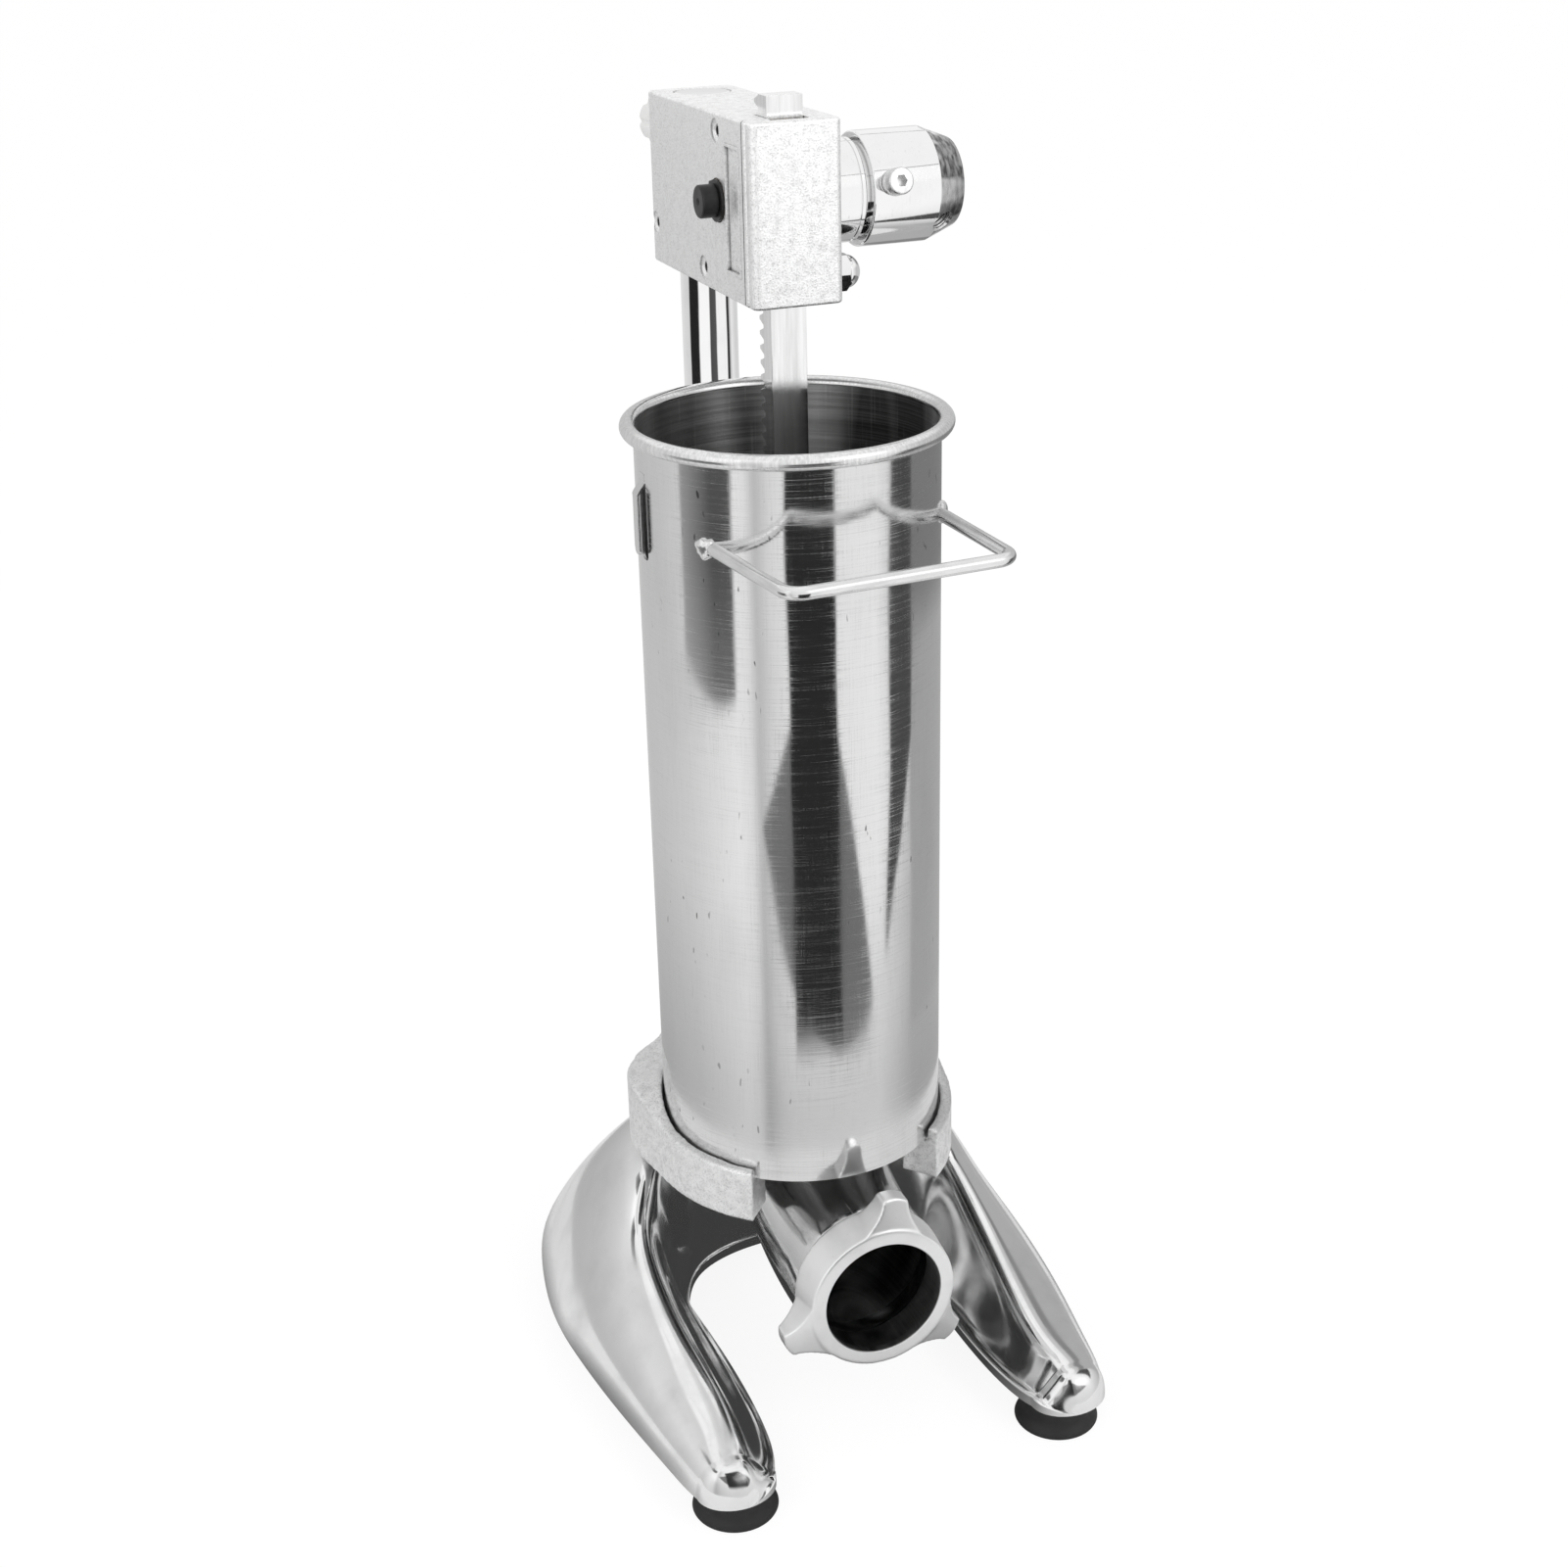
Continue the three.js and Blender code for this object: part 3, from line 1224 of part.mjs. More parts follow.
function clampKnob() {
  const neckEnd = knobStartY + knobNeckLength;
  const body = turned([
    [0, knobStartY], [knobNeckRadius, knobStartY], [knobNeckRadius, neckEnd - edgeChamfer],
    [knobRadius - edgeChamfer, neckEnd], [knobRadius, neckEnd + edgeChamfer],
    [knobRadius, knobEndY - 2 * edgeChamfer], [knobRadius - 2 * edgeChamfer, knobEndY], [0, knobEndY],
  ], middleSides);
  const flutes = Array.from({ length: knobFlutes }, (_, index) => {
    const turn = (2 * Math.PI * index) / knobFlutes;
    const out = knobRadius - knobFluteDepth + knobFluteRadius;
    const flute = bar(knobFluteRadius, neckEnd, knobEndY + cutOverrun, smallSides);
    return flute.translate(out * Math.cos(turn), out * Math.sin(turn), 0);
  });
  const blindEnd = knobStartY + knobBlindDepth;
  const blind = bar(knobScrewRadius + seatGap, knobStartY - cutOverrun, blindEnd, middleSides);
  return alongBack(cutBy(body, blind, ...flutes)).translate(0, 0, knobZ);
}

function knobScrew() {
  const end = knobStartY + knobBlindDepth - seatGap;
  return alongBack(bar(knobScrewRadius, knobScrewStartY, end, middleSides)).translate(0, 0, knobZ);
}

addPiece("clamp_knob", clampKnob(), "paleKnob");
addPiece("clamp_screw", knobScrew(), "satinSteel");

// Piston: a disc with a groove for its seal, held on the rack's stud by a washer and nut in a recess below
const pistonRadius = cylinderBore - pistonFit;
const sealOuterRadius = cylinderBore - runningGap;
const sealGrooveRadius = pistonRadius - sealDepth;
const sealLow = pistonBottom + (pistonThickness - sealHeight) / 2;
const pistonRecessTop = pistonBottom + washerThickness + pistonNutHeight + 2 * seatGap;
const studBore = rackStudRadius + seatGap;

function pistonDisc() {
  const recess = washerRadius + 2 * seatGap;
  const high = sealLow + sealHeight;
  return turned([
    [studBore, pistonTop], [studBore, pistonRecessTop], [recess, pistonRecessTop], [recess, pistonBottom],
    [pistonRadius, pistonBottom], [pistonRadius, sealLow], [sealGrooveRadius, sealLow],
    [sealGrooveRadius, high], [pistonRadius, high],
    [pistonRadius, pistonTop - edgeChamfer], [pistonRadius - edgeChamfer, pistonTop],
  ], largeSides);
}

function pistonSeal() {
  const inner = sealGrooveRadius + seatGap;
  const low = sealLow + seatGap;
  const high = sealLow + sealHeight - seatGap;
  const bulge = (sealOuterRadius - pistonRadius) / 2;
  return turned([
    [inner, low], [sealOuterRadius - bulge, low], [sealOuterRadius, (low + high) / 2],
    [sealOuterRadius - bulge, high], [inner, high],
  ], largeSides);
}

function pistonWasher() {
  const top = pistonRecessTop - seatGap;
  const low = top - washerThickness;
  return turned([[studBore, low], [washerRadius, low], [washerRadius, top], [studBore, top]], middleSides);
}

function pistonNut() {
  const top = pistonRecessTop - 2 * seatGap - washerThickness;
  const hole = bar(studBore, top - 2 * pistonNutHeight, top + cutOverrun);
  return cutBy(hexagonBar(pistonNutFlats, top - pistonNutHeight, top), hole);
}

addPiece("piston_disc", pistonDisc(), "satinSteel");
addPiece("piston_seal", pistonSeal(), "paleSeal");
addPiece("piston_washer", pistonWasher(), "satinSteel");
addPiece("piston_nut", pistonNut(), "satinSteel");

// The origin is on the floor, in the middle of the base's footprint.
machine.position.y = (baseFrontReach - baseRearReach) / 2;

export default machine;
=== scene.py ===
"""Lever churro machine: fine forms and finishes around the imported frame, in metres."""
import logging
import math
from dataclasses import dataclass
from enum import Enum
from typing import Callable, Sequence

import bmesh
import bpy
from mathutils import Matrix, Vector


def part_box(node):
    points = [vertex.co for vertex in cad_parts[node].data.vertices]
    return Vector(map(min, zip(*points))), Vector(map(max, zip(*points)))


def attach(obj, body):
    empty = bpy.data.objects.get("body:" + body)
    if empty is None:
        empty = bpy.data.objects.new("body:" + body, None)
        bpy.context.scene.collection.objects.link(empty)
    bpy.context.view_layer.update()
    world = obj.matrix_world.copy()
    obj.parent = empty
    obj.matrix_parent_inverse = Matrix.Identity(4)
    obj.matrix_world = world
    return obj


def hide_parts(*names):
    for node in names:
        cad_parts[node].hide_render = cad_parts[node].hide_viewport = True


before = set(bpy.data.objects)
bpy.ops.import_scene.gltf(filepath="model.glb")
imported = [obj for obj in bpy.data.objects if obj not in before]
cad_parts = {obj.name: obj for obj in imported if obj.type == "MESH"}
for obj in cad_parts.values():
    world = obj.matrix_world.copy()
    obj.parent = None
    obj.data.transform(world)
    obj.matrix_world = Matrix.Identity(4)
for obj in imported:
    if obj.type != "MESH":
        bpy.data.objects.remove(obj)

logging.basicConfig(level=logging.INFO, format="%(message)s")
log = logging.getLogger("churro_machine")

MM = 0.001
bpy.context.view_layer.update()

# What more than one sub-assembly shares. The y of a piece counts from the cylinder's axis.
AXIS_Y = -8.75 * MM
CYLINDER_RADIUS = 57.5 * MM
POST_Y = 82.7 * MM
POST_BORE = 11.4 * MM
HEAD_TOP = 512.8 * MM
PINION_Y = 20.1875 * MM
PINION_Z = 481.9 * MM
RACK_BACK = 7.9375 * MM
KNOB_Z = 497.0 * MM
KNOB_BORE = 4.3 * MM
GAP = 0.3 * MM
OVERRUN = 2 * MM

Pair = tuple[float, float]
Corner = tuple[float, float, float]
Colour = tuple[float, float, float, float]
Number = int | float


class Body(Enum):
    """The moving bodies of the machine."""

    FRAME = "frame"
    PISTON = "piston_rack"
    CRANK = "crank"
    NUT = "ring_nut"
    KNOB = "clamp_knob"


class Lay(Enum):
    """The direction along which a turned piece's own height runs, as matrix rows."""

    UP = ((1, 0, 0), (0, 1, 0), (0, 0, 1))
    RIGHT = ((0, 0, 1), (1, 0, 0), (0, 1, 0))
    FRONT = ((1, 0, 0), (0, 0, -1), (0, 1, 0))
    BACK = ((1, 0, 0), (0, 0, 1), (0, -1, 0))

    def matrix(self, origin: Sequence[float]) -> Matrix:
        """The turn of this lay, followed by a move to the origin given."""
        return Matrix.Translation(Vector(origin)) @ Matrix(self.value).to_4x4()


# Shader expressions


class Signal:
    """A shader socket that takes part in Python expressions: each operator adds one Math node."""

    def __init__(self, graph: "Graph", socket: bpy.types.NodeSocket) -> None:
        """Wraps a socket of the graph given."""
        self.graph = graph
        self.socket = socket

    def math(self, operation: str, *others: "Signal | Number", first: Number | None = None) -> "Signal":
        """Adds a Math node.

        Args:
            operation: the Math node's operation.
            others: the operands after this one.
            first: a number that goes before this one.

        Returns:
            The node's result.
        """
        operands = [self, *others] if first is None else [first, self, *others]
        return self.graph.add("ShaderNodeMath", {"operation": operation}, dict(enumerate(operands)))

    def __add__(self, other: "Signal | Number") -> "Signal":
        """Sum."""
        return self.math("ADD", other)

    __radd__ = __add__

    def __sub__(self, other: "Signal | Number") -> "Signal":
        """Difference."""
        return self.math("SUBTRACT", other)

    def __rsub__(self, other: Number) -> "Signal":
        """Difference from a number."""
        return self.math("SUBTRACT", first=other)

    def __mul__(self, other: "Signal | Number") -> "Signal":
        """Product."""
        return self.math("MULTIPLY", other)

    __rmul__ = __mul__

    def __truediv__(self, other: "Signal | Number") -> "Signal":
        """Quotient."""
        return self.math("DIVIDE", other)

    def above(self, low: float, high: float) -> "Signal":
        """A ramp from 0 at low to 1 at high, held between them."""
        return self.graph.add(
            "ShaderNodeMapRange", {"clamp": True}, {"Value": self, "From Min": low, "From Max": high}
        )


class Graph:
    """The node tree of a material or of the world."""

    def __init__(self, tree: bpy.types.NodeTree) -> None:
        """Empties the tree and keeps it."""
        self.tree = tree
        tree.nodes.clear()

    def add(self, kind: str, settings: dict | None = None, inputs: dict | None = None,
            output: int | str = 0) -> Signal:
        """Adds one node.

        Args:
            kind: the node's type.
            settings: properties, set first. A key "stops" fills a colour ramp.
            inputs: values or signals by socket name or number.
            output: the socket to return.

        Returns:
            The output socket, ready for expressions.
        """
        node = self.tree.nodes.new(kind)
        for key, value in (settings or {}).items():
            if key == "stops":
                self._fill_ramp(node.color_ramp, value)
            else:
                setattr(node, key, value)
        for key, value in (inputs or {}).items():
            socket = node.inputs[key]
            if isinstance(value, Signal):
                self.tree.links.new(value.socket, socket)
            elif value is not None:
                socket.default_value = value
        return Signal(self, node.outputs[output]) if len(node.outputs) else Signal(self, node.inputs[0])

    @staticmethod
    def _fill_ramp(ramp: bpy.types.ColorRamp, stops: Sequence[Pair]) -> None:
        """Sets a ramp's stops from (place, grey level) pairs."""
        while len(ramp.elements) < len(stops):
            ramp.elements.new(1.0)
        for element, (place, level) in zip(ramp.elements, stops):
            element.position = place
            element.color = (level, level, level, 1.0)

    def mix(self, factor: Signal, first: Signal | Colour, second: Signal | Colour) -> Signal:
        """Blends two colours by a factor."""
        inputs = {0: factor, 6: first, 7: second}
        return self.add("ShaderNodeMix", {"data_type": "RGBA"}, inputs, output=2)

    def place(self) -> Signal:
        """The object's own coordinates, in metres."""
        return self.add("ShaderNodeTexCoord", output="Object")

    def stretched(self, scale: Corner) -> Signal:
        """Object coordinates with each axis multiplied, for drawn-out patterns."""
        return self.add("ShaderNodeVectorMath", {"operation": "MULTIPLY"}, {0: self.place(), 1: scale})

    def noise(self, scale: float, detail: float = 4.0, where: Signal | None = None) -> Signal:
        """Noise between 0 and 1, with features of about 1 / scale metres."""
        inputs = {"Vector": where or self.place(), "Scale": scale, "Detail": detail, "Roughness": 0.55}
        return self.add("ShaderNodeTexNoise", None, inputs)

    def crevice_shade(self, reach: float) -> Signal:
        """How closed in the surface is, from 0 in the open to 1 in a groove narrower than the reach; the
        finishes darken their colour by it as painted shade.
        """
        settings = {"samples": 6, "only_local": True}
        return 1.0 - self.add("ShaderNodeAmbientOcclusion", settings, {"Distance": reach}, "AO")

    def bump(self, height: Signal, strength: float, distance: float, under: Signal | None = None) -> Signal:
        """A normal from a height signal.

        Args:
            height: the relief.
            strength: how strongly it shows, from 0 to 1.
            distance: its depth in metres.
            under: a normal that it is laid over.

        Returns:
            The normal.
        """
        inputs = {"Height": height, "Strength": strength, "Distance": distance}
        if under is not None:
            inputs["Normal"] = under
        return self.add("ShaderNodeBump", None, inputs)


def grey(level: float, warmth: float = 0.0) -> Colour:
    """An almost neutral colour.

    Args:
        level: its brightness.
        warmth: added to red and taken from blue.

    Returns:
        The colour with full opacity.
    """
    return (level + warmth, level, level - warmth, 1.0)


def new_material(name: str) -> tuple[bpy.types.Material, Graph]:
    """A material and its node tree, still empty."""
    material = bpy.data.materials.new(name)
    material.use_nodes = True
    return material, Graph(material.node_tree)


@dataclass(frozen=True)
class Finish:
    """A surface finish: plain values for the shader, and what varies over the surface in dress."""

    name: str
    slot: str
    level: float = 0.8
    warmth: float = 0.0
    metallic: float = 1.0
    roughness: float = 0.2

    def build(self) -> bpy.types.Material:
        """Makes the material."""
        material, graph = new_material(self.name)
        colour = grey(self.level, self.warmth)
        inputs = {"Base Color": colour, "Metallic": self.metallic, "Roughness": self.roughness}
        shader = graph.add("ShaderNodeBsdfPrincipled", None, {**inputs, **self.dress(graph)})
        graph.add("ShaderNodeOutputMaterial", None, {"Surface": shader})
        return material

    def dress(self, graph: Graph) -> dict[str, Signal]:
        """The sockets that vary over the surface. Each kind of finish has its own."""
        raise NotImplementedError


@dataclass(frozen=True)
class MirrorSteel(Finish):
    """Polished sheet: long waves from rolling, hair-fine scratches, faint smears and a few dark ticks."""

    wave: float = 0.35
    wave_scale: Corner = (14.0, 14.0, 5.0)
    scratch: float = 0.25
    hair_scale: Corner = (3000.0, 3000.0, 60.0)
    ring_scale: Corner = (40.0, 40.0, 4000.0)
    smear_stretch: Corner = (1.0, 1.0, 0.4)
    tick_scale: Corner = (420.0, 420.0, 150.0)

    def dress(self, graph: Graph) -> dict[str, Signal]:
        """Waves bend the reflections; scratches and smears change the gloss."""
        waves = graph.noise(1.0, 2.0, graph.stretched(self.wave_scale))
        hairs = graph.noise(1.0, 3.0, graph.stretched(self.hair_scale))
        rings = graph.noise(1.0, 2.0, graph.stretched(self.ring_scale))
        smears = graph.noise(22.0, 5.0, graph.stretched(self.smear_stretch)).above(0.5, 0.75)
        marks = (hairs * 0.5 + rings * 0.5).above(0.5, 0.66)
        turned = rings.above(0.5, 0.8)
        patches = graph.noise(14.0, 2.0).above(0.5, 0.6)
        ticks = graph.noise(1.0, 1.0, graph.stretched(self.tick_scale)).above(0.72, 0.76) * patches
        dull = marks * 0.4 + smears * 0.5
        colour = graph.mix(dull, grey(self.level, self.warmth), grey(self.level * 0.78))
        colour = graph.mix(ticks, colour, grey(self.level * 0.3))
        normal = graph.bump(waves, self.wave, 4.0 * MM, graph.bump(hairs + rings, self.scratch, 0.012 * MM))
        return {
            "Base Color": colour,
            "Roughness": self.roughness + 0.1 * marks + 0.1 * smears + 0.16 * turned,
            "Normal": normal,
        }


@dataclass(frozen=True)
class PolishedCasting(Finish):
    """Buffed cast aluminium: soft dents, buffing haze and small pits."""

    def dress(self, graph: Graph) -> dict[str, Signal]:
        """Haze and pits over gentle unevenness."""
        dents = graph.noise(22.0, 1.0)
        haze = graph.noise(55.0, 6.0).above(0.45, 0.75)
        pits = graph.noise(900.0, 2.0).above(0.7, 0.78)
        colour = graph.mix(haze * 0.5 + pits * 0.5, grey(self.level, self.warmth), grey(self.level * 0.8))
        normal = graph.bump(dents, 0.05, 2.0 * MM, graph.bump(1.0 - pits, 0.15, 0.05 * MM))
        return {
            "Base Color": colour,
            "Roughness": self.roughness + 0.12 * haze + 0.1 * pits,
            "Normal": normal,
        }


@dataclass(frozen=True)
class BlastedCasting(Finish):
    """Blasted cast aluminium: a fine bright and dark grain, with painted shade in its grooves."""

    grain: float = 1500.0
    groove_shade_reach: float = 1.6 * MM

    def dress(self, graph: Graph) -> dict[str, Signal]:
        """Grain in colour and height, and painted shade that darkens the grooves."""
        fine = graph.noise(self.grain, 2.0)
        coarse = graph.noise(self.grain / 5.0, 4.0)
        specks = fine.above(0.5, 0.66)
        patch = coarse.above(0.42, 0.66)
        colour = graph.mix(specks * 0.4 + patch * 0.22, grey(self.level), grey(self.level * 0.42))
        # Painted shade: the colour darkens where the surface is closed in, in grooves and recesses.
        closed = graph.crevice_shade(self.groove_shade_reach).above(0.12, 0.6)
        colour = graph.mix(closed * 0.85, colour, grey(self.level * 0.12))
        normal = graph.bump(fine + coarse * 0.4, 0.9, 0.16 * MM)
        return {"Base Color": colour, "Roughness": self.roughness + 0.18 * patch, "Normal": normal}


@dataclass(frozen=True)
class CloudedSteel(Finish):
    """The cylinder's unpolished inside: turning lines, and broad lighter and darker clouds of painted light
    and shade.
    """

    light_cloud_scale: Corner = (30.0, 30.0, 4.0)
    line_scale: Corner = (14.0, 14.0, 1800.0)
    score_scale: Corner = (700.0, 700.0, 20.0)

    def dress(self, graph: Graph) -> dict[str, Signal]:
        """Clouds of painted light and shade, and lines, in colour; lines in height."""
        # Painted light and shade: broad vertical clouds stand in for reflections on the inner wall; the
        # turning lines and scores are real marks.
        painted_light_clouds = graph.noise(1.0, 2.0, graph.stretched(self.light_cloud_scale)).above(0.4, 0.64)
        lines = graph.noise(1.0, 3.0, graph.stretched(self.line_scale)).above(0.4, 0.7)
        scores = graph.noise(1.0, 2.0, graph.stretched(self.score_scale)).above(0.6, 0.7)
        shade = painted_light_clouds * 0.75 + lines * 0.15 + scores * 0.1
        colour = graph.mix(shade, grey(self.level * 0.14), grey(self.level * 1.5))
        return {
            "Base Color": colour,
            "Roughness": self.roughness + 0.1 * lines,
            "Normal": graph.bump(lines + scores, 0.2, 0.02 * MM),
        }


@dataclass(frozen=True)
class BrushedSteel(Finish):
    """Steel with fine lines along one direction, set by the stretch."""

    stretch: Corner = (2500.0, 2500.0, 40.0)
    dark_share: float = 0.7

    def dress(self, graph: Graph) -> dict[str, Signal]:
        """Lines in colour, gloss and height."""
        lines = graph.noise(1.0, 4.0, graph.stretched(self.stretch))
        cloud = graph.noise(70.0, 3.0)
        strength = lines.above(0.35, 0.7)
        colour = graph.mix(strength, grey(self.level, self.warmth), grey(self.level * self.dark_share))
        return {
            "Base Color": colour,
            "Normal": graph.bump(lines, 0.2, 0.02 * MM),
            "Roughness": self.roughness + 0.08 * cloud + 0.08 * strength,
        }


@dataclass(frozen=True)
class TurnedSteel(Finish):
    """The hub's taper: coarse turning marks round it, with painted dark and bright reflection bands along it.
    """

    hole_shade_reach: float = 6.0 * MM
    mark_scale: Corner = (600.0, 240.0, 240.0)
    reflection_band_scale: Corner = (6.0, 110.0, 110.0)

    def dress(self, graph: Graph) -> dict[str, Signal]:
        """Turning marks and painted reflection bands in colour, marks in height and gloss, and painted shade
        in the spoke holes.
        """
        marks = graph.noise(1.0, 3.0, graph.stretched(self.mark_scale))
        # Painted reflection: dark and bright bands along the taper, mixed in the colour with the real turning
        # marks.
        painted_reflection_bands = graph.noise(1.0, 1.0, graph.stretched(self.reflection_band_scale)).above(0.44, 0.56)
        rough = marks.above(0.38, 0.62)
        colour = graph.mix(painted_reflection_bands * 0.65 + rough * 0.35, grey(self.level), grey(self.level * 0.1))
        # Painted shade: the colour darkens almost to black inside the spoke holes.
        closed = graph.crevice_shade(self.hole_shade_reach).above(0.2, 0.6)
        colour = graph.mix(closed, colour, grey(self.level * 0.05))
        return {
            "Base Color": colour,
            "Roughness": self.roughness + 0.16 * rough,
            "Normal": graph.bump(marks, 0.35, 0.04 * MM),
        }


@dataclass(frozen=True)
class Chrome(Finish):
    """Bright plating with sparse fine scratches, and painted shade in its holes and grooves."""

    groove_shade_reach: float = 2.6 * MM
    scratch_scale: Corner = (1800.0, 900.0, 90.0)

    def dress(self, graph: Graph) -> dict[str, Signal]:
        """Sparse scratches, a trace of haze, and painted shade in the grooves."""
        scratch = graph.noise(1.0, 3.0, graph.stretched(self.scratch_scale)).above(0.62, 0.72)
        haze = graph.noise(90.0, 4.0).above(0.5, 0.8)
        colour = graph.mix(scratch * 0.5 + haze * 0.3, grey(self.level), grey(self.level * 0.82))
        # Painted shade: the colour darkens where the surface is closed in, in grooves and holes.
        closed = graph.crevice_shade(self.groove_shade_reach).above(0.35, 0.8)
        colour = graph.mix(closed * 0.75, colour, grey(self.level * 0.12))
        return {
            "Base Color": colour,
            "Roughness": self.roughness + 0.12 * scratch + 0.06 * haze,
            "Normal": graph.bump(scratch, 0.1, 0.01 * MM),
        }


@dataclass(frozen=True)
class Moulded(Finish):
    """Rubber or plastic straight from the mould: a fine texture and rubbed patches."""

    texture: float = 1400.0
    rubbed: float = 1.5

    def dress(self, graph: Graph) -> dict[str, Signal]:
        """Texture in height, wear in colour and gloss."""
        fine = graph.noise(self.texture, 2.0)
        wear = graph.noise(120.0, 5.0).above(0.5, 0.75)
        worn = min(self.level * self.rubbed, 1.0)
        colour = graph.mix(wear * 0.7, grey(self.level, self.warmth), grey(worn, self.warmth))
        return {
            "Base Color": colour,
            "Roughness": self.roughness + 0.15 * wear,
            "Normal": graph.bump(fine, 0.25, 0.05 * MM),
        }


class Palette:
    """All finishes of the machine, each built once."""

    def __init__(self) -> None:
        """Builds the materials."""
        finishes = {
            "sheet": MirrorSteel("polished_sheet", "mirror_steel", 0.74, roughness=0.07),
            "sheet_inside": CloudedSteel("sheet_inside", "mirror_steel", 0.54, roughness=0.36),
            "rim": BrushedSteel(
                "rolled_rim", "mirror_steel", 0.84,
                roughness=0.16, dark_share=0.78, stretch=(900.0, 900.0, 60.0),
            ),
            "casting": PolishedCasting("polished_casting", "polished_casting", 0.88, roughness=0.1),
            "nut": PolishedCasting("satin_casting", "polished_casting", 0.95, roughness=0.42),
            "blasted": BlastedCasting("blasted_head", "blasted_casting", 0.94, roughness=0.4),
            "cradle": BlastedCasting("blasted_cradle", "blasted_casting", 0.95, roughness=0.4),
            "satin": BrushedSteel("satin_steel", "satin_steel", 0.74, roughness=0.28),
            "grub": BrushedSteel("grub_steel", "satin_steel", 0.34, roughness=0.34),
            "ground": BrushedSteel(
                "ground_steel", "satin_steel", 0.92,
                roughness=0.03, dark_share=0.8, stretch=(500.0, 500.0, 30.0),
            ),
            "wire": BrushedSteel(
                "drawn_wire", "chrome", 0.8,
                roughness=0.1, dark_share=0.85, stretch=(90.0, 90.0, 500.0),
            ),
            "taper": TurnedSteel("turned_taper", "chrome", 0.78, roughness=0.16),
            "plating": Chrome("bright_plating", "chrome", 0.88, roughness=0.05),
            "oxide": Moulded("black_oxide", "black_oxide", 0.03, metallic=0.7, roughness=0.38),
            "bronze": BrushedSteel("sintered_bronze", "bronze", 0.55, 0.12, roughness=0.4),
            "rubber": Moulded(
                "black_rubber", "black_rubber", 0.012, metallic=0.0, roughness=0.62, rubbed=2.2
            ),
            "seal": Moulded("pale_seal", "pale_seal", 0.74, 0.015, metallic=0.0, roughness=0.5, rubbed=0.9),
            "knob": Moulded(
                "pale_plastic", "pale_knob", 0.84, 0.004, metallic=0.0, roughness=0.38, rubbed=0.94
            ),
        }
        self.slots = {name: finish.slot for name, finish in finishes.items()}
        self.materials = {name: finish.build() for name, finish in finishes.items()}

    def paint(self, piece: bpy.types.Object, *names: str) -> None:
        """Gives a piece its materials."""
        for name in names:
            piece.data.materials.append(self.materials[name])

    def repaint(self, node: str, name: str) -> None:
        """Gives a CAD node that stays its finish."""
        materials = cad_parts[node].data.materials
        materials.clear()
        materials.append(self.materials[name])


# Mesh building


def link(name: str, vertices: Sequence[Sequence[float]], faces: Sequence[Sequence[int]]) -> bpy.types.Object:
    """Makes an object from vertices and faces, with merged corners and faces turned outwards.

    Args:
        name: the piece's name.
        vertices: its corners in metres.
        faces: its faces as corner numbers.

    Returns:
        The object, linked to the scene.
    """
    mesh = bpy.data.meshes.new(name)
    mesh.from_pydata([tuple(v) for v in vertices], [], faces)
    shape = bmesh.new()
    shape.from_mesh(mesh)
    bmesh.ops.remove_doubles(shape, verts=shape.verts, dist=0.002 * MM)
    bmesh.ops.dissolve_degenerate(shape, edges=shape.edges, dist=0.001 * MM)
    bmesh.ops.recalc_face_normals(shape, faces=shape.faces)
    shape.to_mesh(mesh)
    shape.free()
    piece = bpy.data.objects.new(name, mesh)
    bpy.context.scene.collection.objects.link(piece)
    return piece


def rounded(corners: Sequence[Corner], steps: int = 5) -> list[Pair]:
    """A profile with its corners rounded.

    Args:
        corners: radius, height and fillet of each corner.
        steps: segments in each fillet.

    Returns:
        The profile's points.
    """
    points: list[Pair] = []
    for index, (x, y, fillet) in enumerate(corners):
        here = Vector((x, y))
        before = Vector(corners[index - 1][:2])
        after = Vector(corners[(index + 1) % len(corners)][:2])
        if fillet <= 0:
            points.append((x, y))
            continue
        start = here + (before - here).normalized() * min(fillet, (before - here).length * 0.49)
        end = here + (after - here).normalized() * min(fillet, (after - here).length * 0.49)
        for step in range(steps + 1):
            t = step / steps
            point = start * (1 - t) ** 2 + here * 2 * t * (1 - t) + end * t**2
            points.append((point.x, point.y))
    return points


def revolved(name: str, profile: Sequence[Pair], place: Matrix = Matrix.Identity(4), sides: int = 96,
             swell: Callable[[float], float] = lambda angle: 1.0) -> bpy.types.Object:
    """A profile of radius and height turned about an axis.

    Args:
        name: the piece's name.
        profile: points that start and end on the axis, or close on themselves.
        place: where the axis goes.
        sides: segments round the axis.
        swell: a factor on the radius by angle, for flutes.

    Returns:
        The turned piece.
    """
    rings = []
    for radius, height in profile:
        ring = []
        for side in range(sides):
            angle = 2 * math.pi * side / sides
            out = radius * swell(angle)
            ring.append(place @ Vector((out * math.cos(angle), out * math.sin(angle), height)))
        rings.append(ring)
    return skinned(name, rings, closed=profile[0][0] != 0, caps=False)


def skinned(name: str, rings: Sequence[Sequence[Vector]], closed: bool = False,
            caps: bool = True) -> bpy.types.Object:
    """A skin through rings of as many points each.

    Args:
        name: the piece's name.
        rings: the rings in order.
        closed: True if the last ring joins the first.
        caps: True if the two ends are filled.

    Returns:
        The skinned piece.
    """
    size = len(rings[0])
    vertices = [point for ring in rings for point in ring]
    faces: list[tuple[int, ...]] = []
    for row in range(len(rings) if closed else len(rings) - 1):
        low, high = row * size, (row + 1) % len(rings) * size
        for side in range(size):
            following = (side + 1) % size
            faces.append((low + side, low + following, high + following, high + side))
    if caps and not closed:
        faces.append(tuple(range(size)))
        faces.append(tuple(range((len(rings) - 1) * size, len(rings) * size)))
    return link(name, vertices, faces)


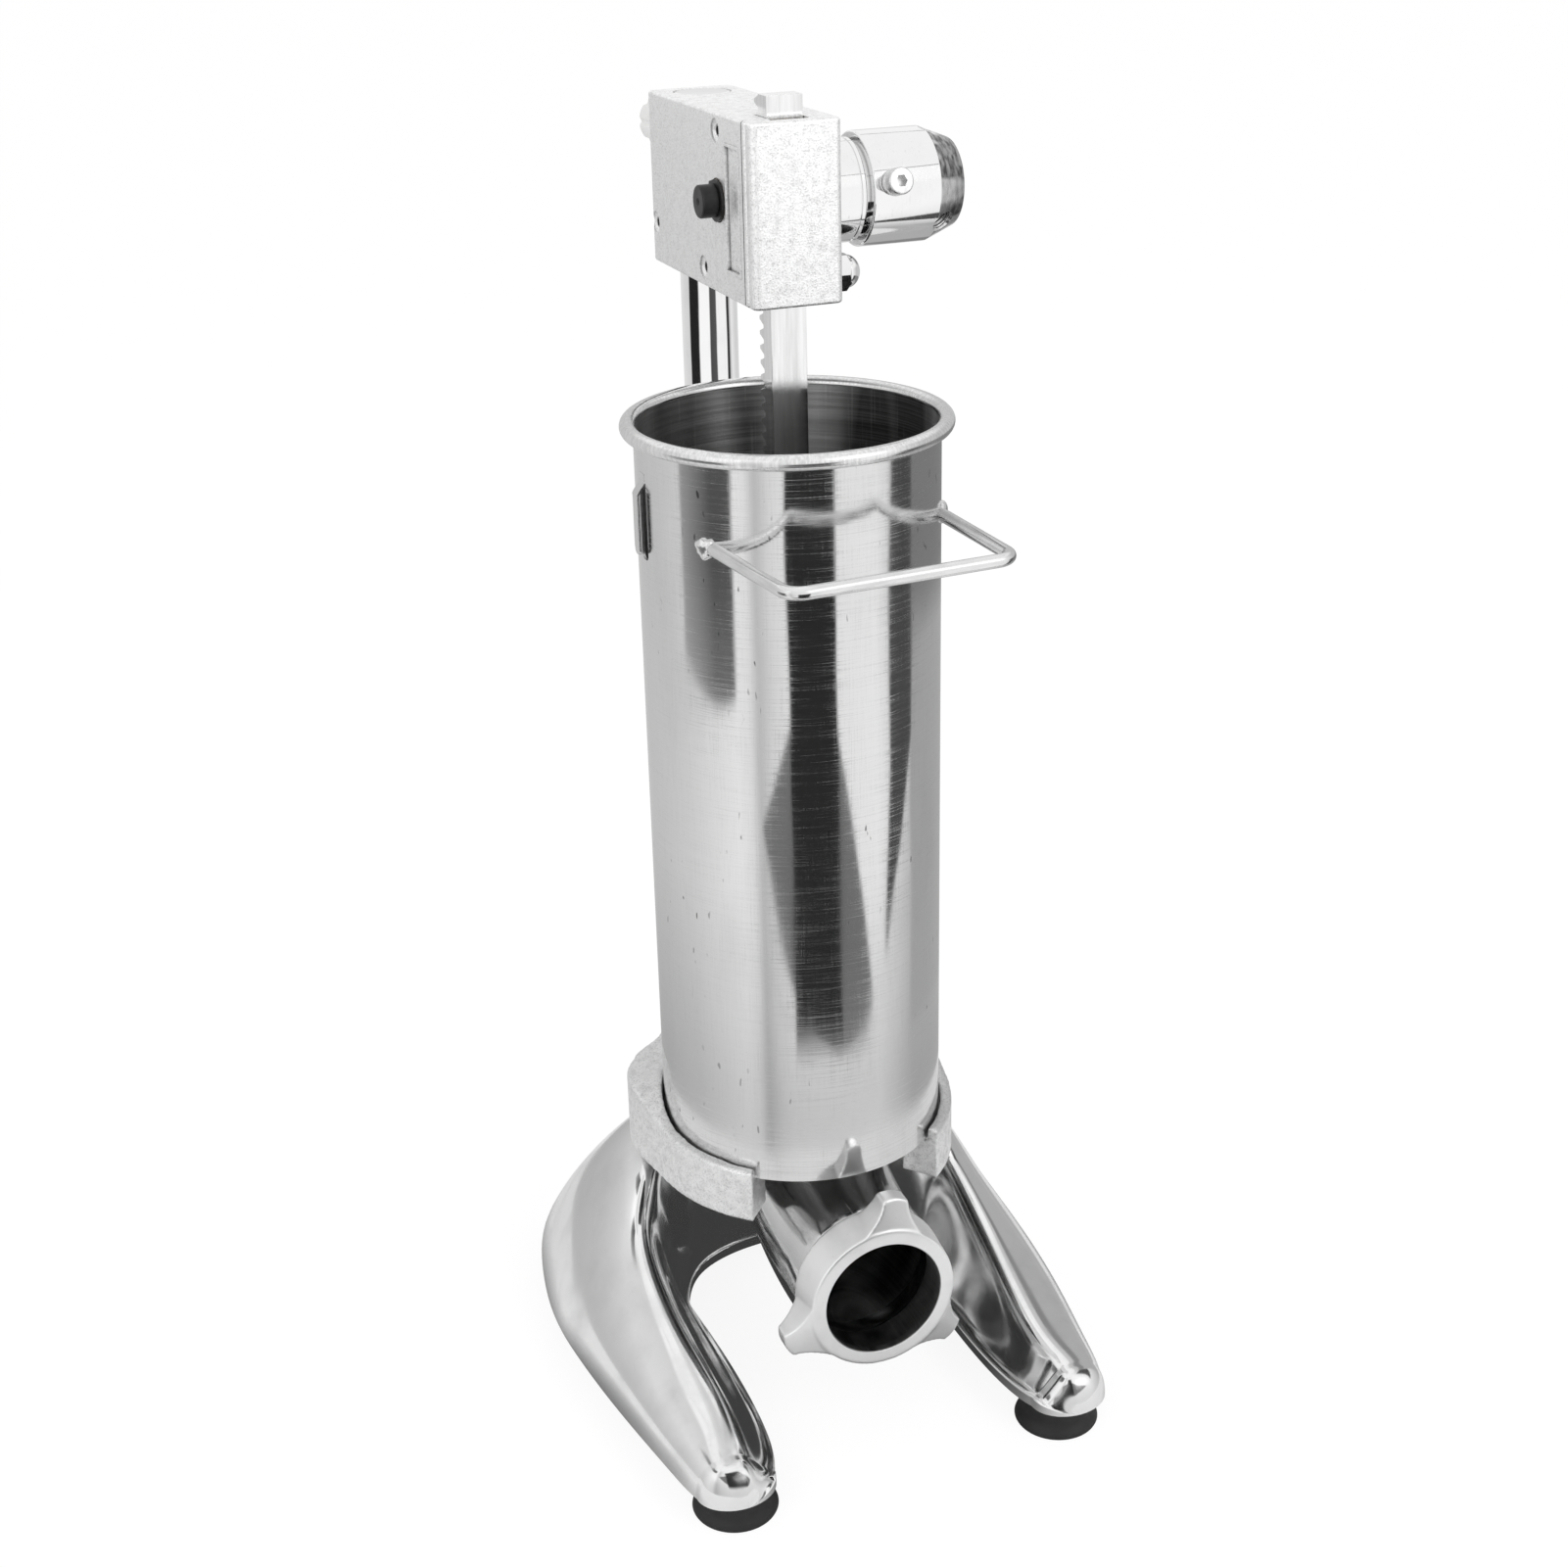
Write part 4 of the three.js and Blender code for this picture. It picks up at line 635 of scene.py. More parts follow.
def extruded(name: str, outline: Sequence[Pair], low: float, high: float,
             place: Matrix = Matrix.Identity(4)) -> bpy.types.Object:
    """A flat outline drawn out between two heights, then put in its place."""
    return skinned(name, [[place @ Vector((x, y, height)) for x, y in outline] for height in (low, high)])


def bar(radius: float, low: float, high: float, place: Matrix = Matrix.Identity(4),
        sides: int = 48) -> bpy.types.Object:
    """A round bar, used as a tool for holes."""
    return revolved("bar", [(0, low), (radius, low), (radius, high), (0, high)], place, sides)


def hexagon(flats: float) -> list[Pair]:
    """A hexagon measured across its flats."""
    radius = flats / 2 / math.cos(math.pi / 6)
    turns = [math.pi / 3 * side for side in range(6)]
    return [(radius * math.cos(turn), radius * math.sin(turn)) for turn in turns]


def arc(x: float, y: float, radius: float, start: float, end: float, steps: int = 6) -> list[Pair]:
    """Points on an arc, with its angles in degrees."""
    turns = [math.radians(start + (end - start) * step / steps) for step in range(steps + 1)]
    return [(x + radius * math.cos(turn), y + radius * math.sin(turn)) for turn in turns]


def block(low: Corner, high: Corner) -> bpy.types.Object:
    """A square-edged tool between two corners."""
    outline = [(low[0], low[1]), (high[0], low[1]), (high[0], high[1]), (low[0], high[1])]
    return extruded("block", outline, low[2], high[2])


def bake(piece: bpy.types.Object) -> bpy.types.Object:
    """Applies a piece's modifiers."""
    bpy.context.view_layer.update()
    depsgraph = bpy.context.evaluated_depsgraph_get()
    mesh = bpy.data.meshes.new_from_object(piece.evaluated_get(depsgraph))
    piece.modifiers.clear()
    piece.data = mesh
    return piece


def combine(piece: bpy.types.Object, *tools: bpy.types.Object, how: str = "DIFFERENCE") -> bpy.types.Object:
    """Joins, cuts or intersects a piece with tools, which are used up.

    Args:
        piece: the piece that is kept.
        tools: the other solids.
        how: DIFFERENCE, UNION or INTERSECT.

    Returns:
        The piece.
    """
    for tool in tools:
        cut = piece.modifiers.new("combine", "BOOLEAN")
        cut.operation = how
        cut.solver = "EXACT"
        cut.object = tool
        bake(piece)
        bpy.data.objects.remove(tool)
    return piece


def soften(piece: bpy.types.Object, width: float, segments: int = 3, angle: float = 35.0) -> bpy.types.Object:
    """Rounds edges.

    Args:
        piece: the piece.
        width: how far from the edge the rounding starts.
        segments: faces across it.
        angle: edges sharper than this, in degrees, are rounded.

    Returns:
        The piece.
    """
    bevel = piece.modifiers.new("soften", "BEVEL")
    bevel.width = width
    bevel.segments = segments
    bevel.limit_method = "ANGLE"
    bevel.angle_limit = math.radians(angle)
    bevel.use_clamp_overlap = True
    bevel.miter_outer = "MITER_ARC"
    return bake(piece)


def cast(piece: bpy.types.Object, voxel: float, passes: int) -> bpy.types.Object:
    """Gives a solid the soft edges and fillets of a casting: an even skin, then smoothed.

    Args:
        piece: the solid.
        voxel: the grid of the skin.
        passes: how often it is smoothed.

    Returns:
        The piece.
    """
    skin = piece.modifiers.new("skin", "REMESH")
    skin.mode = "VOXEL"
    skin.voxel_size = voxel
    relax = piece.modifiers.new("relax", "SMOOTH")
    relax.factor = 0.5
    relax.iterations = passes
    return bake(piece)


def mark(piece: bpy.types.Object, index: int, test: Callable[[Vector, Vector], bool]) -> bpy.types.Object:
    """Gives some faces another of the piece's materials.

    Args:
        piece: the piece.
        index: the material's place in its list.
        test: picks the faces by their middle and normal.

    Returns:
        The piece.
    """
    for face in piece.data.polygons:
        if test(face.center, face.normal):
            face.material_index = index
    return piece


def shade(piece: bpy.types.Object, angle: float = 32.0) -> bpy.types.Object:
    """Smooth shading that keeps edges sharper than the angle, and large faces flat beside small bevels."""
    mesh = piece.data
    mesh.polygons.foreach_set("use_smooth", [True] * len(mesh.polygons))
    mesh.set_sharp_from_angle(angle=math.radians(angle))
    flats = piece.modifiers.new("flats", "WEIGHTED_NORMAL")
    flats.keep_sharp = True
    return bake(piece)


def catmull_rom(rows: Sequence[Sequence[float]], steps: int) -> list[list[float]]:
    """Rows of numbers on a smooth line through the rows given.

    Args:
        rows: rows of as many numbers each.
        steps: how many steps go from one to the next.

    Returns:
        The finer rows.
    """
    result = []
    last = len(rows) - 1
    for row in range(last):
        before, start, end, after = (rows[min(max(row + shift, 0), last)] for shift in (-1, 0, 1, 2))
        for step in range(steps):
            t = step / steps
            line = []
            for p, a, b, n in zip(before, start, end, after):
                pull, push, rise = (b - p) / 2, (n - a) / 2, b - a
                square, cube = 3 * rise - 2 * pull - push, pull + push - 2 * rise
                line.append(a + pull * t + square * t**2 + cube * t**3)
            result.append(line)
    result.append(list(rows[last]))
    return result


@dataclass
class Assembly:
    """What every sub-assembly shares: its palette and the way a piece joins the frame."""

    palette: Palette

    def settle(self, piece: bpy.types.Object, body: Body, finishes: Sequence[str], *nodes: str,
               angle: float = 32.0) -> bpy.types.Object:
        """Shades and paints a piece, rides it on its body and lets it stand for CAD nodes.

        Args:
            piece: the finished mesh.
            body: what it moves with.
            finishes: palette names of its materials.
            nodes: the CAD nodes that it replaces.
            angle: edges sharper than this stay sharp.

        Returns:
            The piece.
        """
        shade(piece, angle)
        self.palette.paint(piece, *finishes)
        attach(piece, body.value)
        if nodes:
            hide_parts(*nodes)
        log.info("%s: %d faces, on %s", piece.name, len(piece.data.polygons), body.value)
        return piece


@dataclass
class HorseshoeBase(Assembly):
    """The polished base casting and its four rubber feet."""

    half_width: float = 106.2 * MM
    front_reach: float = 119.5 * MM
    rear_reach: float = 137.0 * MM
    height: float = 77.2 * MM
    bottom: float = 13.0 * MM
    wall: float = 5.0 * MM
    lip: float = 4.0 * MM
    hollow_end: float = -87.0 * MM
    foot_bore: float = 2.8 * MM
    foot_recess: float = 6.1 * MM
    foot_top: float = 14.0 * MM
    skirt_edge: float = 1.1 * MM
    skirt_top: float = 5.2 * MM
    nose_share: float = 0.985
    outer_points: int = 18
    inner_points: int = 20
    steps: int = 6
    nose_steps: int = 12
    crest_span: float = 4.0
    crest_passes: int = 14
    row_passes: int = 14
    feet: tuple[str, ...] = ("front_left", "front_right", "rear_left", "rear_right")
    # Outer x and y, inner x and y, height, the crest's two ends, and how the outer flank leans: 1 is a
    # quarter ellipse, 2 a straight slope. The first five are shares of the sizes above.
    section_shares: tuple[tuple[float, ...], ...] = (
        (-0.83, -0.895, -0.527, -0.895, 0.205, 0.4, 0.5, 0.85),
        (-0.852, -0.828, -0.503, -0.845, 0.235, 0.46, 0.52, 0.85),
        (-0.88, -0.686, -0.475, -0.711, 0.275, 0.52, 0.56, 0.9),
        (-0.922, -0.477, -0.461, -0.502, 0.352, 0.5, 0.54, 1.0),
        (-0.965, -0.226, -0.461, -0.251, 0.45, 0.49, 0.53, 1.25),
        (-0.994, 0.022, -0.475, 0.0, 0.62, 0.54, 0.59, 1.6),
        (-1.0, 0.115, -0.478, 0.05, 0.8, 0.63, 0.68, 1.8),
        (-1.0, 0.24, -0.461, 0.102, 0.97, 0.68, 0.8, 1.8),
        (-0.95, 0.48, -0.395, 0.204, 1.0, 0.68, 0.88, 1.65),
        (-0.84, 0.755, -0.292, 0.27, 1.0, 0.72, 0.9, 1.65),
        (-0.6, 0.925, -0.16, 0.307, 1.0, 0.7, 0.92, 1.75),
        (-0.285, 0.985, -0.056, 0.318, 1.0, 0.5, 0.94, 1.6),
        (0.0, 1.0, 0.0, 0.321, 1.0, 0.36, 0.95, 1.5),
    )

    def rows(self) -> list[list[float]]:
        """The cross-sections in metres, from the left toe round the back to the right toe."""
        left = []
        for row in catmull_rom(self.section_shares, self.steps):
            outer_x, outer_y, inner_x, inner_y, height, *crest = row
            left.append([
                max(outer_x, -1.0) * self.half_width, self.reach(outer_y),
                inner_x * self.half_width, self.reach(inner_y), min(height, 1.0) * self.height, *crest,
            ])
        right = [[-row[0], row[1], -row[2], *row[3:]] for row in reversed(left[:-1])]
        line = left + right
        for _ in range(self.row_passes):
            threes = list(zip(line, line[1:], line[2:]))
            line[1:-1] = [[(a + 2 * b + c) / 4 for a, b, c in zip(*three)] for three in threes]
        return line

    def reach(self, share: float) -> float:
        """A place along the base, from a share of its front or rear reach."""
        return share * (self.front_reach if share < 0 else self.rear_reach)

    def section(self, row: Sequence[float], inset: float = 0.0) -> list[Vector]:
        """One cross-section: up the round outer side, over the crest and down the hollow inner flank.

        Args:
            row: its values, as rows gives them.
            inset: how far it lies within the casting's surface.

        Returns:
            Its points.
        """
        outer, inner = Vector(row[0:2]), Vector(row[2:4])
        across = inner - outer
        width = across.length
        across.normalize()
        height, crest_outer, crest_inner, lean = row[4:8]
        start, end = inset, width - inset
        low = self.bottom - (OVERRUN if inset else 0.0)
        top = self.bottom + height - inset
        lip = max(self.bottom + self.lip - inset, low)
        crest_width = (crest_inner - crest_outer) * width
        crest_start = max(crest_outer * width, start) + min(inset, crest_width) / 2
        crest_end = min(crest_inner * width, end - inset / 2)
        profile = []
        for step in range(self.outer_points + 1):
            turn = math.pi / 2 * step / self.outer_points
            along = start + (crest_start - start) * (1 - max(math.cos(turn), 0.0) ** lean)
            profile.append((along, low + (top - low) * math.sin(turn) ** lean))
        for step in range(self.inner_points + 1):
            t = step / self.inner_points
            fall = (1 + math.cos(math.pi * t)) / 2
            profile.append((crest_end + (end - crest_end) * t, lip + (top - lip) * fall))
        profile.append((end, low))
        shifts = [(at - self.outer_points) / self.crest_span for at in range(len(profile))]
        pulls = [0.5 * math.exp(-shift**2) for shift in shifts]
        for _ in range(self.crest_passes):
            profile[1:-1] = [
                tuple(b + pull * ((a + c) / 2 - b) for a, b, c in zip(*profile[at - 1:at + 2]))
                for at, pull in enumerate(pulls[1:-1], 1)
            ]
        return [Vector((*(outer + across * along), z)) + Vector((0, AXIS_Y, 0)) for along, z in profile]

    def nose(self, row: Sequence[float]) -> list[list[Vector]]:
        """The toe's round end: its last section drawn in towards the ground as it moves forward."""
        middle = Vector(((row[0] + row[2]) / 2, (row[1] + row[3]) / 2 + AXIS_Y, self.bottom))
        reach = self.front_reach + middle.y - AXIS_Y
        rings = []
        for step in range(1, self.nose_steps + 1):
            turn = math.pi / 2 * min(step / self.nose_steps, self.nose_share)
            ring = []
            for point in self.section(row):
                moved = (point - middle) * math.cos(turn) + middle
                moved.y -= reach * math.sin(turn) / math.sin(math.pi / 2 * self.nose_share)
                ring.append(moved)
            rings.append(ring)
        return rings

    def casting(self) -> bpy.types.Object:
        """The hollow horseshoe with solid toes."""
        rows = self.rows()
        rings = [*reversed(self.nose(rows[0])), *(self.section(row) for row in rows), *self.nose(rows[-1])]
        body = skinned("horseshoe_base", rings)
        inside = [self.section(row, self.wall) for row in rows if row[1] > self.hollow_end]
        combine(body, skinned("hollow", inside))
        return body

    def foot(self, place: str) -> bpy.types.Object:
        """One rubber foot with its flared, slightly turned-up skirt."""
        low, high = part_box(f"foot_{place}")
        middle = (low + high) / 2
        radius = (high.x - low.x) / 2
        height = high.z
        profile = rounded([
            (self.foot_bore, height, 0.0), (self.foot_bore, height / 2, 0.0),
            (self.foot_recess, height / 2, 0.3 * MM), (self.foot_recess, 0.0, 0.4 * MM),
            (radius - 0.6 * MM, 0.0, 0.3 * MM), (radius, self.skirt_edge, 0.5 * MM),
            (radius - 0.5 * MM, 2.6 * MM, 0.8 * MM), (self.foot_top + 0.6 * MM, self.skirt_top, 1.5 * MM),
            (self.foot_top, height, 0.5 * MM),
        ])
        return revolved(f"rubber_foot_{place}", profile, Lay.UP.matrix((middle.x, middle.y, 0.0)))

    def build(self) -> None:
        """Makes the casting and the feet."""
        self.settle(self.casting(), Body.FRAME, ["casting"], "base_casting", angle=40)
        for place in self.feet:
            self.settle(self.foot(place), Body.FRAME, ["rubber"], f"foot_{place}")
            self.palette.repaint(f"foot_screw_{place}", "satin")


@dataclass
class Cradle(Assembly):
    """The blasted casting that holds the cylinder's foot, with the boss for the post."""

    cylinder_radius: float = CYLINDER_RADIUS
    bore: float = 58.3 * MM
    ledge_inner: float = 47.3 * MM
    bottom: float = 90.5 * MM
    ledge_top: float = 107.7 * MM
    rear_height: float = 32.3 * MM
    boss_radius: float = 23.0 * MM
    post_y: float = POST_Y
    post_bore: float = POST_BORE
    seat_floor: float = 4.8 * MM
    bolt_circle: float = 66.0 * MM
    bolt_bore: float = 3.3 * MM
    bolt_depth: float = 11.0 * MM
    screw_bore: float = 5.3 * MM
    voxel: float = 0.9 * MM
    cast_passes: int = 5
    steps: int = 5
    # Angle from the back in degrees, outer radius over the cylinder's, top over the rear height
    section_shares: tuple[Corner, ...] = (
        (0, 1.43, 1), (15, 1.39, 0.97), (26, 1.29, 0.7), (38, 1.245, 0.48), (50, 1.276, 0.46),
        (61, 1.289, 0.445), (70, 1.245, 0.43), (80, 1.17, 0.36), (88, 1.125, 0.28), (96, 1.105, 0.23),
        (106, 1.098, 0.205), (118, 1.096, 0.185), (130, 1.096, 0.175), (140, 1.096, 0.17),
    )

    def section(self, row: Sequence[float]) -> list[Vector]:
        """One radial section through an arm and its ledge."""
        angle, radius_share, top_share = row
        outer = radius_share * self.cylinder_radius
        top = self.ledge_top + min(top_share, 1.0) * self.rear_height
        turn = math.radians(angle)
        profile = [
            (self.ledge_inner, self.bottom), (outer, self.bottom), (outer, top), (self.bore, top),
            (self.bore, self.ledge_top), (self.ledge_inner, self.ledge_top),
        ]
        return [Vector((r * math.sin(turn), AXIS_Y + r * math.cos(turn), z)) for r, z in profile]

    def build(self) -> None:
        """Makes the casting: arms and boss joined, bored, then given a cast skin."""
        half = catmull_rom(self.section_shares, self.steps)
        rows = [(-row[0], *row[1:]) for row in reversed(half[1:])] + half
        body = skinned("cylinder_cradle", [self.section(row) for row in rows])
        post = (0.0, self.post_y + AXIS_Y, 0.0)
        top = self.ledge_top + self.rear_height
        boss = bar(self.boss_radius, self.bottom, top, Lay.UP.matrix(post), 96)
        side = self.bolt_circle * math.sqrt(0.5)
        low, high = self.bottom - MM, self.bottom + self.bolt_depth
        bolts = [bar(self.bolt_bore, low, high, Lay.UP.matrix((x, side + AXIS_Y, 0))) for x in (-side, side)]
        combine(body, boss, how="UNION")
        combine(
            body, bar(self.post_bore, self.bottom + self.seat_floor, top + MM, Lay.UP.matrix(post)),
            bar(self.screw_bore, self.bottom - MM, top, Lay.UP.matrix(post)), *bolts,
        )
        self.settle(cast(body, self.voxel, self.cast_passes), Body.FRAME, ["cradle"], "cradle", angle=60)


@dataclass
class DoughCylinder(Assembly):
    """The polished cylinder with its rolled rim, pressed hook, floor plate and wire handle."""

    radius: float = CYLINDER_RADIUS
    wall: float = 1.0 * MM
    bottom: float = 108.0 * MM
    top: float = 406.0 * MM
    rim_roll: float = 3.0 * MM
    sides: int = 288
    hook_width: float = 5.4 * MM
    slot_corner: float = 2.2 * MM
    hook_length: float = 29.0 * MM
    hook_stand_off: float = 3.0 * MM
    hook_thickness: float = 1.2 * MM
    hook_below_rim: float = 18.0 * MM
    slot_margin: float = 0.8 * MM
    wire_radius: float = 2.5 * MM
    wire_sides: int = 32
    handle_below_rim: float = 36.5 * MM
    handle_half_width: float = 43.9 * MM
    handle_reach: float = 95.0 * MM
    handle_turn: float = 3.4
    handle_corner: float = 7.0 * MM
    weld_angle: float = 54.0
    weld_radius: float = 4.0 * MM
    weld_height: float = 2.6 * MM
    weld_steps: int = 8
    floor_thickness: float = 2.0 * MM
    elbow_bore: float = 29.0 * MM
    gap: float = GAP

    @property
    def bore(self) -> float:
        """The radius inside."""
        return self.radius - self.wall

    def slot(self) -> bpy.types.Object:
        """The tool for the gap that the hook was pressed out of."""
        half = self.hook_width / 2 + self.slot_margin
        high = self.top - self.hook_below_rim
        low = high - self.hook_length
        turn = self.slot_corner
        outline = [*arc(half - turn, high - turn, turn, 0, 90), *arc(turn - half, high - turn, turn, 90, 180)]
        outline += [*arc(turn - half, low, turn, 180, 270), *arc(half - turn, low, turn, 270, 360)]
        place = Lay.RIGHT.matrix((0, AXIS_Y, 0))
        return extruded("slot", outline, -self.radius - OVERRUN, -self.bore + OVERRUN, place)

    def shell(self) -> bpy.types.Object:
        """The thin wall, open at both ends, with the rim rolled outwards."""
        centre = (self.bore + self.rim_roll, self.top - self.rim_roll)
        meets = math.degrees(math.acos((self.radius - centre[0]) / self.rim_roll))
        roll = arc(*centre, self.rim_roll, -meets, 180, 22)
        profile = [(self.bore, self.bottom), (self.radius, self.bottom), *roll]
        piece = revolved("dough_cylinder", profile, Lay.UP.matrix((0, AXIS_Y, 0)), self.sides)
        return combine(piece, self.slot())

    def hook(self) -> bpy.types.Object:
        """The tongue: it leaves the wall at the slot's top, steps outwards and hangs to a round end."""
        high = self.top - self.hook_below_rim
        low = high - self.hook_length
        wall = -self.radius + self.wall / 2
        out = wall - self.hook_stand_off
        bends = [
            (wall, high + 2 * MM), (wall, high - MM), (wall - 0.3 * self.hook_stand_off, high - 2.4 * MM),
            (out, high - 5.5 * MM), (out, high - 8 * MM), (out, low + 3 * MM), (out + 0.4 * MM, low),
        ]
        path = catmull_rom(bends, 5)
        rings = []
        for x, z in path:
            left = max(z - low, 0.0)
            end = self.hook_width / 2
            half = end if left > end else math.sqrt(max(end**2 - (end - left) ** 2, 0.0)) + 0.05 * MM
            depth = self.hook_thickness / 2
            ring = [(half, -0.6 * depth), (0.9 * half, -depth), (-0.9 * half, -depth), (-half, -0.6 * depth)]
            ring += [(-half, 0.6 * depth), (-0.9 * half, depth), (0.9 * half, depth), (half, 0.6 * depth)]
            rings.append([Vector((x + d, AXIS_Y + y, z)) for y, d in ring])
        return skinned("hook_tongue", rings)

    def floor(self) -> bpy.types.Object:
        """The plate in the cylinder's foot, dished towards the outlet."""
        edge = self.bore - self.gap
        high = self.bottom + self.floor_thickness
        profile = [
            (self.elbow_bore, self.bottom), (edge, self.bottom), (edge, high),
            (self.elbow_bore + 2 * MM, high), (self.elbow_bore + 0.4 * MM, high - 0.8 * MM),
        ]
        return revolved("cylinder_floor_plate", profile, Lay.UP.matrix((0, AXIS_Y, 0)), 128)

    def wire_path(self) -> list[Pair]:
        """The handle's middle line, seen from above, from its right weld to its left one."""
        weld = math.radians(self.weld_angle)
        at_wall = self.radius - 0.4 * MM
        start = (at_wall * math.sin(weld), -at_wall * math.cos(weld) + self.wire_radius)
        shift = self.handle_half_width - self.handle_corner
        corner = arc(shift, -self.handle_reach + self.handle_corner, self.handle_corner, 0, -90, 12)
        half = [start, *corner]
        turn = Matrix.Rotation(math.radians(self.handle_turn), 2)
        return [tuple(turn @ Vector(point)) for point in half + [(-x, y) for x, y in reversed(half)]]

    def handle(self) -> bpy.types.Object:
        """The bent wire."""
        path = self.wire_path()
        height = self.top - self.handle_below_rim
        rings = []
        for index, (x, y) in enumerate(path):
            before, after = Vector(path[max(index - 1, 0)]), Vector(path[min(index + 1, len(path) - 1)])
            along = (after - before).normalized()
            ring = []
            for side in range(self.wire_sides):
                angle = 2 * math.pi * side / self.wire_sides
                out, rise = self.wire_radius * math.cos(angle), self.wire_radius * math.sin(angle)
                ring.append(Vector((x + out * along.y, y - out * along.x + AXIS_Y, height + rise)))
            rings.append(ring)
        return skinned("wire_handle", rings)

    @staticmethod
    def lumps(angle: float) -> float:
        """The factor by which a weld bead's radius varies round it."""
        return 1 + 0.12 * math.sin(3 * angle) + 0.07 * math.sin(7 * angle + 1)

    def weld(self, side: int) -> bpy.types.Object:
        """The small lumpy bead where the wire meets the wall."""
        x, y = self.wire_path()[0 if side > 0 else -1]
        angle = math.atan2(y, x)
        out = Vector((math.cos(angle), math.sin(angle), 0))
        centre = out * self.radius + Vector((0, AXIS_Y, self.top - self.handle_below_rim))
        turn = out.to_track_quat("Z", "Y").to_matrix().to_4x4()
        profile = [(0, -0.6 * MM), (self.weld_radius, -0.5 * MM)]
        for step in range(1, self.weld_steps):
            t = math.pi / 2 * step / self.weld_steps
            profile.append((self.weld_radius * math.cos(t) ** 0.8, self.weld_height * math.sin(t)))
        profile.append((0, self.weld_height))
        name = f"handle_weld_{'left' if side < 0 else 'right'}"
        return revolved(name, profile, Matrix.Translation(centre) @ turn, 32, self.lumps)

    @staticmethod
    def distance(at: Vector) -> float:
        """How far a place is from the cylinder's axis."""
        return math.hypot(at.x, at.y - AXIS_Y)

    def build(self) -> None:
        """Makes all pieces of the cylinder."""
        shell = self.shell()
        middle = (self.bore + self.radius) / 2
        roll_low = self.top - 2 * self.rim_roll
        mark(shell, 1, lambda at, n: self.distance(at) < middle and at.z < self.top - self.rim_roll)
        mark(shell, 2, lambda at, n: at.z > roll_low and self.distance(at) > self.bore + 0.1 * MM)
        self.settle(shell, Body.FRAME, ["sheet", "sheet_inside", "rim"], "cylinder_shell", angle=50)
        self.settle(self.hook(), Body.FRAME, ["sheet"], angle=50)
        self.settle(self.floor(), Body.FRAME, ["satin"], "cylinder_floor")
        self.settle(self.handle(), Body.FRAME, ["wire"], "carry_handle", angle=50)
        for side in (-1, 1):
            self.settle(self.weld(side), Body.FRAME, ["rim"], angle=60)


